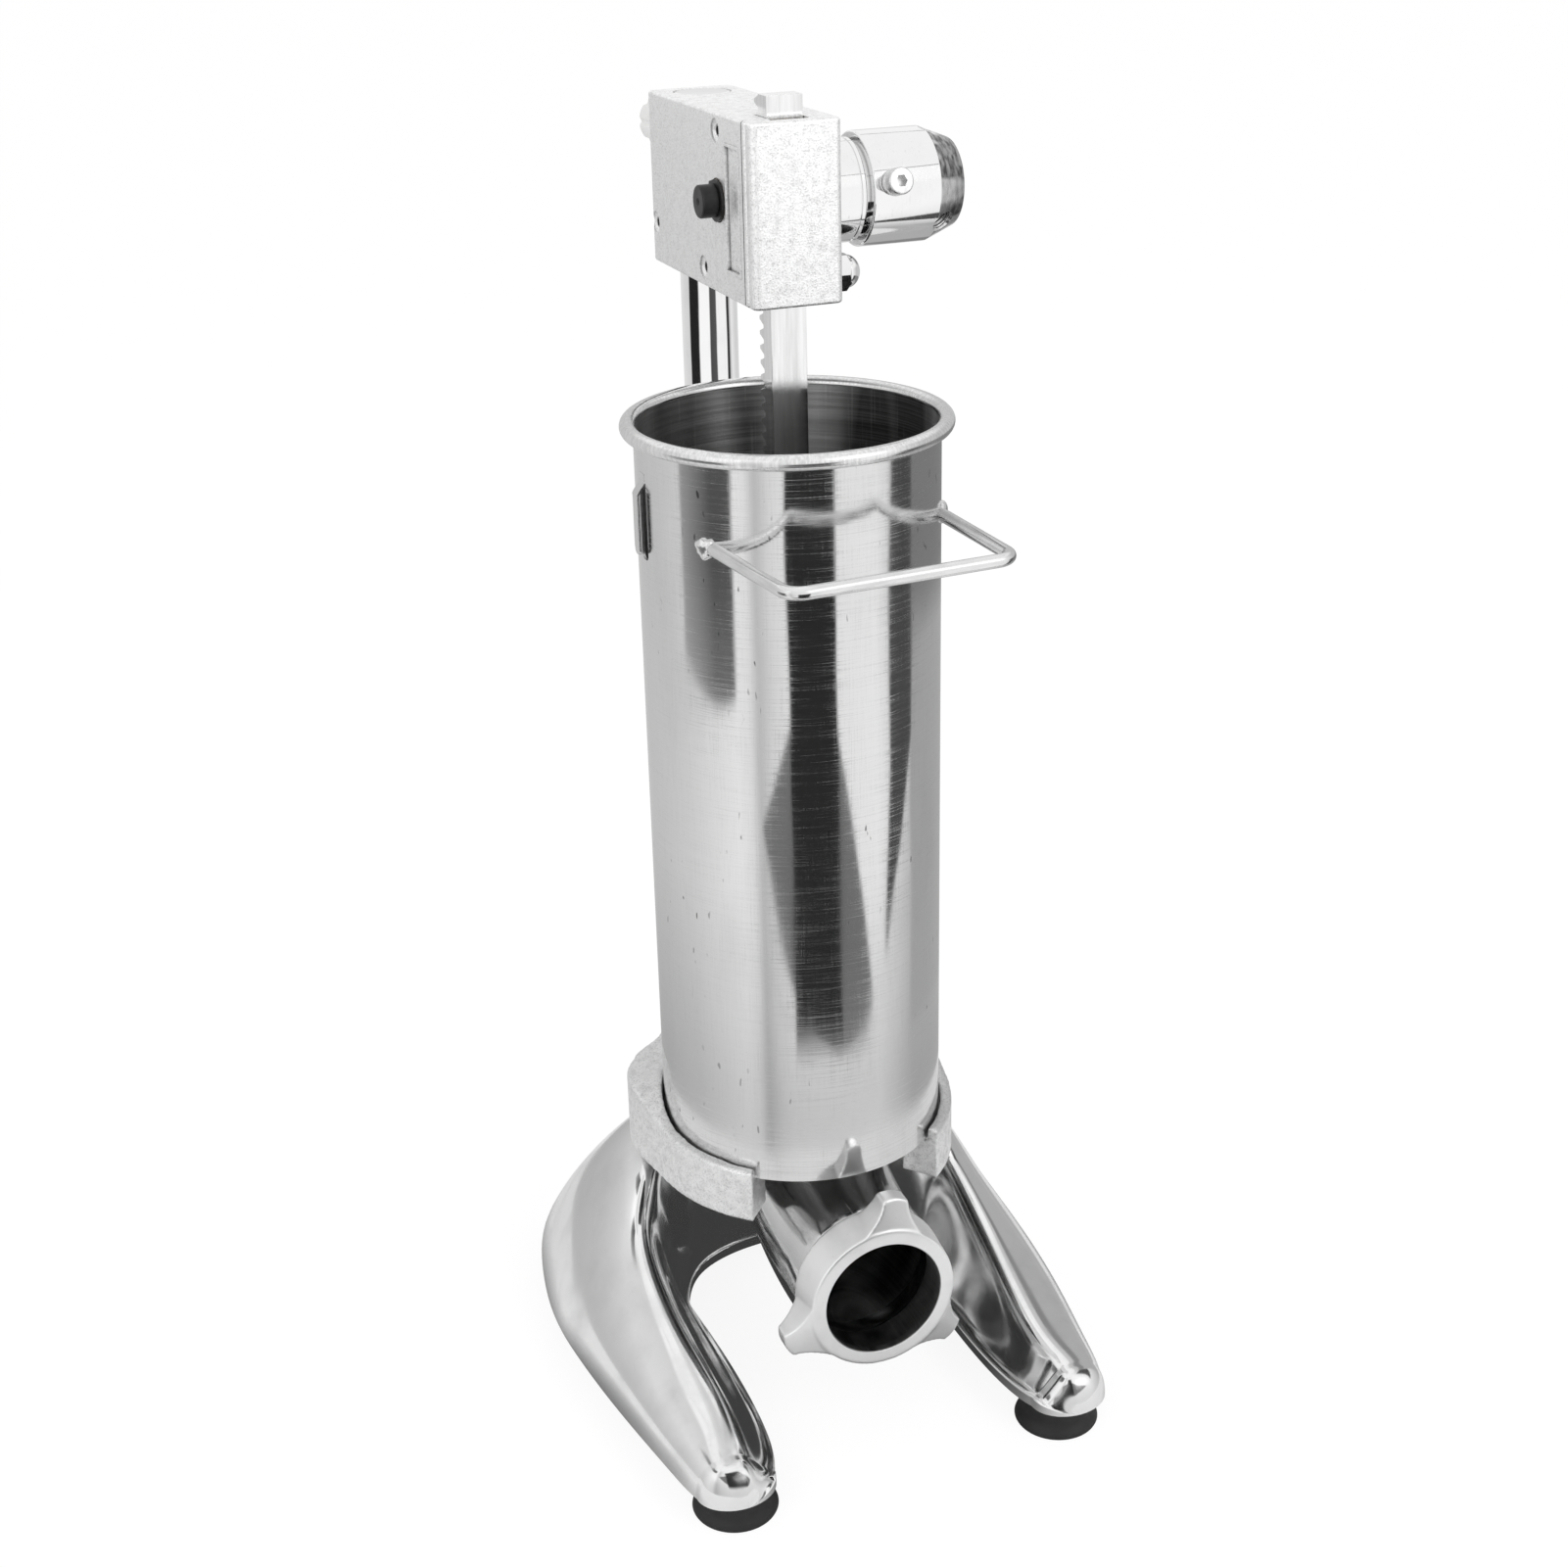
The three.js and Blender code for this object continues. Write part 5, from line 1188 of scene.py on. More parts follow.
@dataclass
class Outlet(Assembly):
    """The polished elbow under the cylinder and the three-lobed nut on its spigot."""

    radius: float = 31.0 * MM
    wall: float = 2.0 * MM
    top: float = 107.7 * MM
    collar: float = 1.7 * MM
    flare: float = 4.0 * MM
    reach: float = 58.0 * MM
    drop: float = 38.6 * MM
    straight: float = 11.5 * MM
    spigot_radius: float = 28.5 * MM
    spigot_wall: float = 2.5 * MM
    spigot_length: float = 12.5 * MM
    sides: int = 128
    bend_steps: int = 40
    nut_length: float = 16.4 * MM
    nut_back: float = 31.9 * MM
    nut_front: float = 30.5 * MM
    mouth: float = 24.5 * MM
    lip: float = 3.4 * MM
    lobes: int = 3
    lobe_angle: float = 80.0
    tip_radius: float = 43.0 * MM
    tip_width: float = 11.0 * MM
    root_width: float = 26.0 * MM
    tip_thickness: float = 6.0 * MM
    slope: float = 4.8 * MM
    nut_voxel: float = 0.55 * MM
    nut_passes: int = 9
    flare_steps: int = 6
    gap: float = GAP

    @property
    def axis_z(self) -> float:
        """The height of the outlet's axis."""
        return self.top - self.collar - self.drop

    @property
    def end(self) -> float:
        """How far the elbow reaches to the front of the cylinder's axis."""
        return self.reach + self.straight

    def ring(self, back: float, height: float, turn: float, radius: float) -> list[Vector]:
        """A round section of the elbow.

        Args:
            back: how far its middle is behind the cylinder's axis.
            height: how high its middle is.
            turn: how far it leans over, from 0 when level, in radians.
            radius: its radius.

        Returns:
            Its points.
        """
        points = []
        for side in range(self.sides):
            angle = 2 * math.pi * side / self.sides
            x, across = radius * math.sin(angle), radius * math.cos(angle)
            y = AXIS_Y + back + across * math.cos(turn)
            points.append(Vector((x, y, height - across * math.sin(turn))))
        return points

    def bend_line(self) -> list[Corner]:
        """The quarter turn's middle line: the lean, the place behind the axis and the height of each step."""
        turns = [math.pi / 2 * step / self.bend_steps for step in range(self.bend_steps + 1)]
        return [
            (turn, -self.reach * (1 - math.cos(turn)), self.axis_z + self.drop * (1 - math.sin(turn)))
            for turn in turns
        ]

    def bend(self, radius: float) -> list[list[Vector]]:
        """The quarter turn's rings."""
        return [self.ring(back, height, turn, radius) for turn, back, height in self.bend_line()]

    def elbow(self) -> bpy.types.Object:
        """The elbow with its flared top, bored through."""
        quarter = math.pi / 2
        rings = []
        for step in range(self.flare_steps):
            t = step / self.flare_steps
            wide = self.radius + self.flare * (1 - t) ** 2.2
            rings.append(self.ring(0, self.top - self.collar * t, 0, wide))
        rings += self.bend(self.radius)
        rings.append(self.ring(-self.end + MM, self.axis_z, quarter, self.radius))
        rings.append(self.ring(-self.end, self.axis_z, quarter, self.radius - 0.6 * MM))
        outside = skinned("outlet_elbow_tube", rings)
        front = Lay.FRONT.matrix((0, AXIS_Y, self.axis_z))
        spigot = bar(self.spigot_radius, self.reach, self.end + self.spigot_length, front, self.sides)
        bore = self.radius - self.wall
        narrow = self.spigot_radius - self.spigot_wall
        inside = skinned("bore", [
            self.ring(0, self.top + OVERRUN, 0, bore), *self.bend(bore),
            self.ring(-self.end + self.wall + self.spigot_wall, self.axis_z, quarter, bore),
            self.ring(-self.end, self.axis_z, quarter, narrow),
            self.ring(-self.end - self.spigot_length - OVERRUN, self.axis_z, quarter, narrow),
        ])
        combine(outside, spigot, how="UNION")
        return combine(outside, inside)

    def lobed_outline(self) -> list[Pair]:
        """The nut seen from its front: a circle with three hand lobes."""
        root_turn = math.asin(self.root_width / 2 / self.nut_front)
        root = self.nut_front * math.cos(root_turn)
        tip = self.tip_width / 2
        corner = self.tip_radius - tip / 4
        waist = (root + self.tip_radius) / 2
        curves = [
            [(root, -self.root_width / 2), (waist, -tip), (corner, -tip)],
            [(corner, -tip), (self.tip_radius + tip / 4, 0), (corner, tip)],
            [(corner, tip), (waist, tip), (root, self.root_width / 2)],
        ]
        points: list[Pair] = []
        for lobe in range(self.lobes):
            middle = math.radians(self.lobe_angle) + 2 * math.pi * lobe / self.lobes
            turn = Matrix.Rotation(middle, 2)
            for curve in curves:
                a, b, c = (Vector(p) for p in curve)
                for step in range(12):
                    t = step / 12
                    point = turn @ (a * (1 - t) ** 2 + b * 2 * t * (1 - t) + c * t**2)
                    points.append((point.x, point.y))
            start = math.degrees(middle + root_turn)
            end = math.degrees(middle - root_turn) + 360 / self.lobes
            points += arc(0, 0, self.nut_front, start, end, 16)
        return points

    def nut(self) -> bpy.types.Object:
        """The nut: ring and lobes joined, given soft cast edges, then bored."""
        front = Lay.FRONT.matrix((0, AXIS_Y - self.end - self.gap, self.axis_z))
        length = self.nut_length
        lobe_back = length - self.slope - self.tip_thickness
        far = self.tip_radius + OVERRUN
        round_edge = (self.nut_front - self.mouth) / 5
        wedge = revolved("wedge", [
            (0, round_edge), (self.nut_back, round_edge), (far, lobe_back), (far, length - self.slope),
            (self.nut_front, length - round_edge / 2), (0, length - round_edge / 2),
        ], front, 96)
        sides = [(0, 0), (self.nut_back, 0), (self.nut_front, length), (0, length)]
        ring = revolved("ring", sides, front, 192)
        piece = extruded("lobed_ring_nut", self.lobed_outline(), 0.0, length, front)
        combine(piece, wedge, how="INTERSECT")
        combine(piece, ring, how="UNION")
        cast(piece, self.nut_voxel, self.nut_passes)
        inner = self.spigot_radius + self.gap
        bore = revolved("bore", [
            (0, -MM), (inner, -MM), (inner, length - self.lip), (self.mouth, length - self.lip),
            (self.mouth, length - 0.5 * MM), (self.mouth + 0.6 * MM, length + 0.3 * MM),
            (0, length + 0.3 * MM),
        ], front, 192)
        return combine(piece, bore)

    def build(self) -> None:
        """Makes the elbow and the nut."""
        elbow = self.elbow()
        bore = self.radius - self.wall / 2
        mark(elbow, 1, lambda at, n: self.inside(at, bore))
        self.settle(elbow, Body.FRAME, ["sheet", "sheet_inside"], "outlet_elbow", angle=40)
        nut = self.nut()
        mark(nut, 1, lambda at, n: math.hypot(at.x, at.z - self.axis_z) < self.mouth + 0.2 * MM)
        self.settle(nut, Body.NUT, ["nut", "sheet_inside"], "ring_nut", angle=45)

    def inside(self, at: Vector, bore: float) -> bool:
        """Tells whether a place on the elbow is on its inner wall."""
        back = at.y - AXIS_Y
        if back < -self.reach:
            return math.hypot(at.x, at.z - self.axis_z) < min(bore, self.spigot_radius - self.spigot_wall / 2)
        here = Vector((at.x, back, at.z))
        middles = [Vector((0, *place)) for _, *place in self.bend_line()]
        return min((here - middle).length for middle in middles) < bore


@dataclass
class Post(Assembly):
    """The chrome post behind the cylinder."""

    radius: float = 11.1 * MM
    y: float = POST_Y
    bottom: float = 95.6 * MM
    top: float = HEAD_TOP
    hole: float = 5.3 * MM
    hole_depth: float = 20.3 * MM
    edge: float = 1.2 * MM

    def build(self) -> None:
        """Makes the post, with a rounded edge at both ends."""
        deep, middle = self.bottom + self.hole_depth, self.radius - self.edge
        profile = [
            (0, deep), (self.hole, deep), (self.hole, self.bottom), (middle, self.bottom),
            *arc(middle, self.bottom + self.edge, self.edge, -90, 0),
            *arc(middle, self.top - self.edge, self.edge, 0, 90), (0, self.top),
        ]
        piece = revolved("chrome_post", profile, Lay.UP.matrix((0, self.y + AXIS_Y, 0)), 128)
        self.settle(piece, Body.FRAME, ["plating"], "post")
        self.palette.repaint("post_screw", "satin")
        for number in (1, 2):
            self.palette.repaint(f"cradle_bolt_{number}", "satin")


@dataclass
class GearHead(Assembly):
    """The blasted housing and its front cover, with what is screwed into them."""

    half_width: float = 17.4 * MM
    bottom: float = 447.8 * MM
    top: float = HEAD_TOP
    cover_front: float = -15.4 * MM
    cover_back: float = -9.4 * MM
    housing_front: float = -9.1 * MM
    back: float = 98.3 * MM
    corner: float = 3.0 * MM
    edge: float = 1.1 * MM
    post_y: float = POST_Y
    post_bore: float = POST_BORE
    rack_back: float = RACK_BACK
    channel_half: float = 7.3 * MM
    pinion_y: float = PINION_Y
    pinion_z: float = PINION_Z
    chamber: float = 16.3 * MM
    shaft_bore: float = 8.0 * MM
    label_y: float = 4.5 * MM
    label_width: float = 13.0 * MM
    label_height: float = 44.0 * MM
    label_depth: float = 1.0 * MM
    label_border: float = 1.1 * MM
    label_rise: float = 0.35 * MM
    seam_back: float = 2.4 * MM
    seam_width: float = 0.7 * MM
    seam_depth: float = 1.0 * MM
    screw_bore: float = 2.9 * MM
    screw_hole_depth: float = 8.5 * MM
    screw_edge: float = 0.5 * MM
    socket_depth: float = 2.2 * MM
    sink_ledge: float = 1.4 * MM
    sink_depth: float = 0.8 * MM
    guide_bore: float = 4.2 * MM
    guide_z: float = 456.0 * MM
    knob_bore: float = KNOB_BORE
    knob_z: float = KNOB_Z
    nut_flats: float = 13.0 * MM
    nut_hex: float = 6.3 * MM
    nut_length: float = 11.7 * MM
    nut_chamfer: float = 1.0 * MM
    dome_inset: float = 0.4 * MM
    dome_steps: int = 14
    gap: float = GAP

    def plan(self, front: float, back: float, front_corner: float, back_corner: float) -> list[Pair]:
        """The head's outline seen from above.

        Args:
            front: where its front face is.
            back: where its back face is.
            front_corner: the rounding of its front corners, or 0.
            back_corner: the rounding of its back corners, or 0.

        Returns:
            Its points.
        """
        points: list[Pair] = []
        for sign, y, radius, start in ((-1, front, front_corner, 180), (1, front, front_corner, 270),
                                       (1, back, back_corner, 0), (-1, back, back_corner, 90)):
            x = sign * self.half_width
            inward = 1 if y == front else -1
            if radius:
                points += arc(x - sign * radius, y + inward * radius + AXIS_Y, radius, start, start + 90, 8)
            else:
                points.append((x, y + AXIS_Y))
        return points

    def place(self, back: float, height: float) -> Matrix:
        """A lay along X at a place on the head's side."""
        return Lay.RIGHT.matrix((0, back + AXIS_Y, height))

    def screw_places(self) -> list[Pair]:
        """Middles of the three recessed screws on the left face, from their CAD nodes."""
        boxes = [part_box(f"housing_screw_{number}") for number in (1, 2, 3)]
        return [((low.y + high.y) / 2 - AXIS_Y, (low.z + high.z) / 2) for low, high in boxes]

    def housing(self) -> bpy.types.Object:
        """The housing with its channel, chamber, bores, label recess and screw holes."""
        left = -self.half_width
        body = extruded("gear_housing_casting", self.plan(self.housing_front, self.back, 0, self.corner),
                        self.bottom, self.top)
        soften(body, self.edge, 4, 60)
        low, high = self.bottom - OVERRUN, self.top + OVERRUN
        outside = left - OVERRUN
        label = self.label_block(outside, left + self.label_depth, 0.0)
        border = self.label_block(left - self.label_rise, left + self.label_rise, self.label_border)
        combine(body, soften(border, 0.3 * MM, 2, 60), how="UNION")
        seam_y = self.housing_front + self.seam_back + AXIS_Y
        seam = block((outside, seam_y, low), (left + self.seam_depth, seam_y + self.seam_width, high))
        half = self.channel_half
        channel_front = self.housing_front - OVERRUN + AXIS_Y
        channel_back = self.rack_back + self.gap + AXIS_Y
        pinion = self.place(self.pinion_y, self.pinion_z)
        tools = [
            bar(self.post_bore, low, high, Lay.UP.matrix((0, self.post_y + AXIS_Y, 0)), 96),
            block((-half, channel_front, low), (half, channel_back, high)),
            bar(self.chamber, -half, half, pinion, 96),
            bar(self.shaft_bore, outside, self.half_width + OVERRUN, pinion, 64),
            bar(self.guide_bore, 0, self.half_width + OVERRUN, self.place(0, self.guide_z)),
            bar(self.knob_bore, self.post_y, self.back + OVERRUN, Lay.BACK.matrix((0, AXIS_Y, self.knob_z))),
            label, seam,
        ]
        narrow, wide = self.screw_bore, self.screw_bore + self.sink_ledge
        shallow = left + self.sink_depth
        sink = [(0, outside), (wide, outside), (wide, shallow), (narrow, shallow + MM), (0, shallow + MM)]
        for back, height in self.screw_places():
            place = self.place(back, height)
            tools.append(bar(narrow, outside, left + self.screw_hole_depth, place))
            tools.append(revolved("sink", sink, place, 48))
        return combine(body, *tools)

    def label_block(self, outer: float, inner: float, margin: float) -> bpy.types.Object:
        """A block over the label's place on the left face.

        Args:
            outer: where its left side is.
            inner: where its right side is.
            margin: how far it stands out round the label.

        Returns:
            The block.
        """
        middle = (self.bottom + self.top) / 2
        wide, tall = self.label_width / 2 + margin, self.label_height / 2 + margin
        y = self.label_y + AXIS_Y
        return block((outer, y - wide, middle - tall), (inner, y + wide, middle + tall))

    def cover(self) -> bpy.types.Object:
        """The front cover plate."""
        plate = extruded("front_cover_plate", self.plan(self.cover_front, self.cover_back, self.corner, 0),
                         self.bottom, self.top)
        return soften(plate, self.edge, 4, 60)

    def plug_screw(self, number: int, back: float, height: float) -> bpy.types.Object:
        """A grub screw with a hexagon socket, set below the face.

        Args:
            number: its number.
            back: how far its axis is behind the cylinder's.
            height: how high its axis is.

        Returns:
            The screw.
        """
        low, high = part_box(f"housing_screw_{number}")
        radius = (high.z - low.z) / 2
        face, edge = low.x, self.screw_edge
        place = self.place(back, height)
        profile = [(0, face), (radius - edge, face), (radius, face + edge), (radius, high.x), (0, high.x)]
        screw = revolved(f"grub_screw_{number}", profile, place, 48)
        socket = extruded("socket", hexagon(1.15 * radius), face - MM, face + self.socket_depth, place)
        return combine(screw, socket)

    def dome_nut(self) -> bpy.types.Object:
        """The dome nut low on the right side: a chamfered hexagon under a dome."""
        start = self.half_width + self.gap
        place = self.place(0, self.guide_z)
        hex_end = start + self.nut_hex
        nut = extruded("dome_nut", hexagon(self.nut_flats), start, hex_end, place)
        corner = self.nut_flats / 2 / math.cos(math.pi / 6)
        flat = self.nut_flats / 2
        cone = revolved("cone", [
            (0, start - MM), (flat, start - MM), (flat, start), (corner + 0.1 * MM, start + self.nut_chamfer),
            (corner + 0.1 * MM, hex_end - self.nut_chamfer), (flat, hex_end), (0, hex_end),
        ], place, 96)
        combine(nut, cone, how="INTERSECT")
        dome_radius = flat - self.dome_inset
        rise = self.nut_length - self.nut_hex
        turns = [math.pi / 2 * step / self.dome_steps for step in range(self.dome_steps)]
        dome = [(dome_radius * math.cos(turn), hex_end + rise * math.sin(turn)) for turn in turns]
        profile = [(0, hex_end - MM), (dome_radius, hex_end - MM), *dome, (0, hex_end + rise)]
        cap = revolved("cap", profile, place, 64)
        combine(nut, cap, how="UNION")
        return combine(nut, bar(self.guide_bore, start - MM, hex_end + self.gap, place))

    def build(self) -> None:
        """Makes the housing, cover, screws and dome nut."""
        self.settle(self.housing(), Body.FRAME, ["blasted"], "gear_housing", angle=40)
        self.settle(self.cover(), Body.FRAME, ["blasted"], "front_cover", angle=40)
        for number, (back, height) in enumerate(self.screw_places(), 1):
            screw = self.plug_screw(number, back, height)
            self.settle(screw, Body.FRAME, ["grub"], f"housing_screw_{number}")
        self.settle(self.dome_nut(), Body.FRAME, ["plating"], "guide_dome_nut", angle=25)
        for node, finish in (("rack_guide_pad", "bronze"), ("rack_guide_screw", "satin"),
                             ("bush_left", "bronze"), ("bush_right", "bronze")):
            self.palette.repaint(node, finish)


@dataclass
class CrankDrive(Assembly):
    """The shaft, its clip and the crank hub, which turn together with the pinion."""

    y: float = PINION_Y
    z: float = PINION_Z
    radius: float = 6.0 * MM
    left: float = -25.0 * MM
    hub_start: float = 17.7 * MM
    shaft_depth: float = 40.0 * MM
    groove: float = 0.9 * MM
    clip_outer: float = -18.7 * MM
    clip_thickness: float = 1.0 * MM
    clip_width: float = 2.6 * MM
    clip_reach: float = 8.2 * MM
    clip_open: float = 30.0
    clip_steps: int = 48
    ear_width: float = 1.1 * MM
    ear_turn: float = 132.0
    neck_radius: float = 19.0 * MM
    neck_length: float = 16.0 * MM
    groove_width: float = 2.0 * MM
    groove_depth: float = 1.4 * MM
    score_depth: float = 0.35 * MM
    hub_radius: float = 21.0 * MM
    body_length: float = 27.0 * MM
    taper_length: float = 11.5 * MM
    end_radius: float = 16.5 * MM
    spoke_holes: int = 3
    spoke_radius: float = 4.0 * MM
    spoke_depth: float = 12.0 * MM
    spoke_sink: float = 1.2 * MM
    spoke_inset: float = 3.0 * MM
    thread_pitch: float = 1.25 * MM
    thread_depth: float = 0.55 * MM
    spoke_angle: float = -38.5
    screw_angle: float = 12.5
    screw_x: float = 43.7 * MM
    screw_radius: float = 2.5 * MM
    head_radius: float = 5.0 * MM
    head_height: float = 6.6 * MM
    head_edge: float = 0.7 * MM
    key_flats: float = 4.0 * MM
    key_depth: float = 3.2 * MM
    edge: float = 0.8 * MM
    gap: float = GAP

    def along(self) -> Matrix:
        """The lay along the shaft."""
        return Lay.RIGHT.matrix((0, self.y + AXIS_Y, self.z))

    def around(self, angle: float, x: float, lean: float = 0.0, out: float = 0.0) -> Matrix:
        """A lay that stands out from the hub, at an angle from the front towards the top.

        Args:
            angle: where round the hub, in degrees.
            x: where along it.
            lean: how far the tool leans to the hub's end, in radians.
            out: the tool's distance from the axis.

        Returns:
            The tool's place.
        """
        centre = Matrix.Translation((x, self.y + AXIS_Y, self.z))
        turn = Matrix.Rotation(math.radians(90 - angle), 4, "X")
        return centre @ turn @ Matrix.Translation((0, 0, out)) @ Matrix.Rotation(lean, 4, "Y")

    def shaft(self) -> bpy.types.Object:
        """The shaft with a centre drill in its left end and a groove for the clip."""
        right = self.hub_start + self.shaft_depth
        drill = self.radius / 4
        low, high = self.clip_outer - self.gap, self.clip_outer + self.clip_thickness + self.gap
        inner = self.radius - self.groove
        profile = [
            (0, self.left + drill), (drill, self.left), (self.radius - self.edge, self.left),
            *arc(self.radius - self.edge, self.left + self.edge, self.edge, -90, 0)[1:], (self.radius, low),
            (inner, low), (inner, high), (self.radius, high), (self.radius, right - self.edge),
            (self.radius - self.edge, right), (0, right),
        ]
        return revolved("black_shaft", profile, self.along(), 96)

    def clip(self) -> bpy.types.Object:
        """The spring clip: an open ring that thins out towards its ends, with two ears."""
        inner = self.radius - self.groove + self.gap
        outline: list[Pair] = []
        for step in range(self.clip_steps + 1):
            turn = self.clip_open + (360 - 2 * self.clip_open) * step / self.clip_steps
            from_back = abs(turn - 180)
            width = self.clip_width * (1 - 0.45 * (from_back / (180 - self.clip_open)) ** 2)
            ear = self.ear_width * math.exp(-(((from_back - self.ear_turn) / 12) ** 2))
            reach = min(inner + width + ear, self.clip_reach)
            angle = math.radians(turn)
            outline.append((reach * math.cos(angle), reach * math.sin(angle)))
        outline += arc(0, 0, inner, 360 - self.clip_open, self.clip_open, self.clip_steps)
        high = self.clip_outer + self.clip_thickness
        piece = extruded("spring_clip", outline, self.clip_outer, high, self.along())
        return soften(piece, 0.12 * MM, 2, 50)

    def hub(self) -> bpy.types.Object:
        """The hub: neck with a scored line, groove, body, and a taper with threaded spoke holes."""
        bore = self.radius + self.gap
        groove_x = self.hub_start + self.neck_length
        body_x = groove_x + self.groove_width
        taper_x = body_x + self.body_length
        end_x = taper_x + self.taper_length
        deep = self.hub_start + self.shaft_depth + self.gap
        e, neck = self.edge, self.neck_radius
        scored, grooved = neck - self.score_depth, neck - self.groove_depth
        profile = [
            (0, deep), (bore, deep), (bore, self.hub_start), (neck - e, self.hub_start),
            *arc(neck - e, self.hub_start + e, e, -90, 0)[1:],
            (neck, groove_x - 2.4 * MM), (scored, groove_x - 2.2 * MM),
            (scored, groove_x - 1.8 * MM), (neck, groove_x - 1.6 * MM),
            (neck, groove_x - 0.3 * MM), (neck - 0.3 * MM, groove_x), (grooved, groove_x), (grooved, body_x),
            *arc(self.hub_radius - e, body_x + e, e, -90, 0),
            (self.hub_radius, taper_x - 0.4 * MM), (self.hub_radius - 0.15 * MM, taper_x),
            *arc(self.end_radius - e, end_x - e, e, 22, 90), (0, end_x),
        ]
        piece = revolved("crank_hub_body", profile, self.along(), 256)
        narrowing = self.hub_radius - self.end_radius
        lean = math.atan2(narrowing, self.taper_length)
        hole_out = self.hub_radius - narrowing * self.spoke_inset / self.taper_length
        for index in range(self.spoke_holes):
            angle = self.spoke_angle + 360 * index / self.spoke_holes
            place = self.around(angle, taper_x + self.spoke_inset, lean, hole_out)
            combine(piece, self.thread_tool(place))
        place = self.around(self.screw_angle, self.screw_x)
        combine(piece, bar(self.screw_radius + self.gap, 0, self.hub_radius + OVERRUN, place))
        return mark(piece, 1, lambda at, n: at.x > taper_x - 0.1 * MM)

    def thread_tool(self, place: Matrix) -> bpy.types.Object:
        """The tool for a threaded hole: close rings under a small countersink."""
        pitch = self.thread_pitch
        profile: list[Pair] = [(0, -self.spoke_depth)]
        height = -self.spoke_depth
        while height < -pitch - self.spoke_sink:
            profile += [(self.spoke_radius - self.thread_depth, height)]
            profile += [(self.spoke_radius, height + pitch / 2)]
            height += pitch
        profile += [(self.spoke_radius - 0.3 * MM, height), (self.spoke_radius, height + 0.4 * MM)]
        wide = self.spoke_radius + self.spoke_sink
        top = wide + OVERRUN
        profile += [(self.spoke_radius, -self.spoke_sink), (wide, 0.2 * MM), (wide, top), (0, top)]
        return revolved("thread", profile, place, 64)

    def screw(self) -> bpy.types.Object:
        """The hub's clamp screw with a collar, a round head and a hexagon socket."""
        low = self.radius + self.gap
        seat = self.hub_radius + self.gap
        top = seat + self.head_height
        collar, e = self.head_radius, self.head_edge
        waist, head = collar - 0.9 * MM, collar - 0.1 * MM
        profile = [
            (0, low), (self.screw_radius, low), (self.screw_radius, seat), (collar - 0.2 * MM, seat),
            (collar, seat + 0.2 * MM), (collar, seat + 1.5 * MM), (waist, seat + 1.9 * MM),
            (waist, seat + 2.6 * MM), (head, seat + 3.0 * MM), *arc(head - e, top - e, e, 0, 90), (0, top),
        ]
        place = self.around(self.screw_angle, self.screw_x)
        piece = revolved("hub_clamp_screw", profile, place, 96)
        socket = extruded("socket", hexagon(self.key_flats), top - self.key_depth, top + MM, place)
        return combine(piece, socket)

    def build(self) -> None:
        """Makes the pieces that show; pinion and key keep their exact solids."""
        self.settle(self.shaft(), Body.CRANK, ["oxide"], "pinion_shaft")
        self.settle(self.clip(), Body.CRANK, ["oxide"], "shaft_clip")
        self.settle(self.hub(), Body.CRANK, ["plating", "taper"], "crank_hub", angle=24)
        self.settle(self.screw(), Body.CRANK, ["satin"], "hub_screw")
        self.palette.repaint("pinion_gear", "satin")
        self.palette.repaint("pinion_key", "satin")


@dataclass
class ClampKnob(Assembly):
    """The pale knob behind the head and its screw."""

    start: float = 110.4 * MM
    z: float = KNOB_Z
    radius: float = 10.5 * MM
    length: float = 22.0 * MM
    neck_radius: float = 7.0 * MM
    neck_length: float = 4.0 * MM
    flutes: int = 8
    flute_depth: float = 0.9 * MM
    shoulder: float = 2.0 * MM
    crown: float = 2.4 * MM
    bore: float = KNOB_BORE

    def build(self) -> None:
        """Makes the moulded knob with shallow flutes, and gives the screw its finish."""
        place = Lay.BACK.matrix((0, AXIS_Y, self.z))
        neck_end = self.start + self.neck_length
        end = self.start + self.length
        deep = self.start + self.length / 2
        profile = [
            (0, deep), (self.bore, deep), (self.bore, self.start), (self.neck_radius - 0.5 * MM, self.start),
            (self.neck_radius, self.start + 0.5 * MM), (self.neck_radius, neck_end - 1.2 * MM),
            *arc(self.radius - self.shoulder, neck_end + 1.2 * MM, self.shoulder, -80, 0, 8),
            *arc(self.radius - self.crown, end - self.crown, self.crown, 0, 90, 8),
            (self.radius * 0.45, end - 0.3 * MM), (0, end - 0.5 * MM),
        ]
        piece = revolved("moulded_knob", profile, place, 192)
        for vertex in piece.data.vertices:
            x, z = vertex.co.x, vertex.co.z - self.z
            out = math.hypot(x, z)
            if out > self.neck_radius + 0.6 * MM:
                depth = self.flute_depth * max(math.cos(self.flutes * math.atan2(z, x)), 0.0) ** 2
                share = 1 - depth / out
                vertex.co.x, vertex.co.z = x * share, self.z + z * share
        self.settle(piece, Body.KNOB, ["knob"], "clamp_knob", angle=50)
        self.palette.repaint("clamp_screw", "satin")


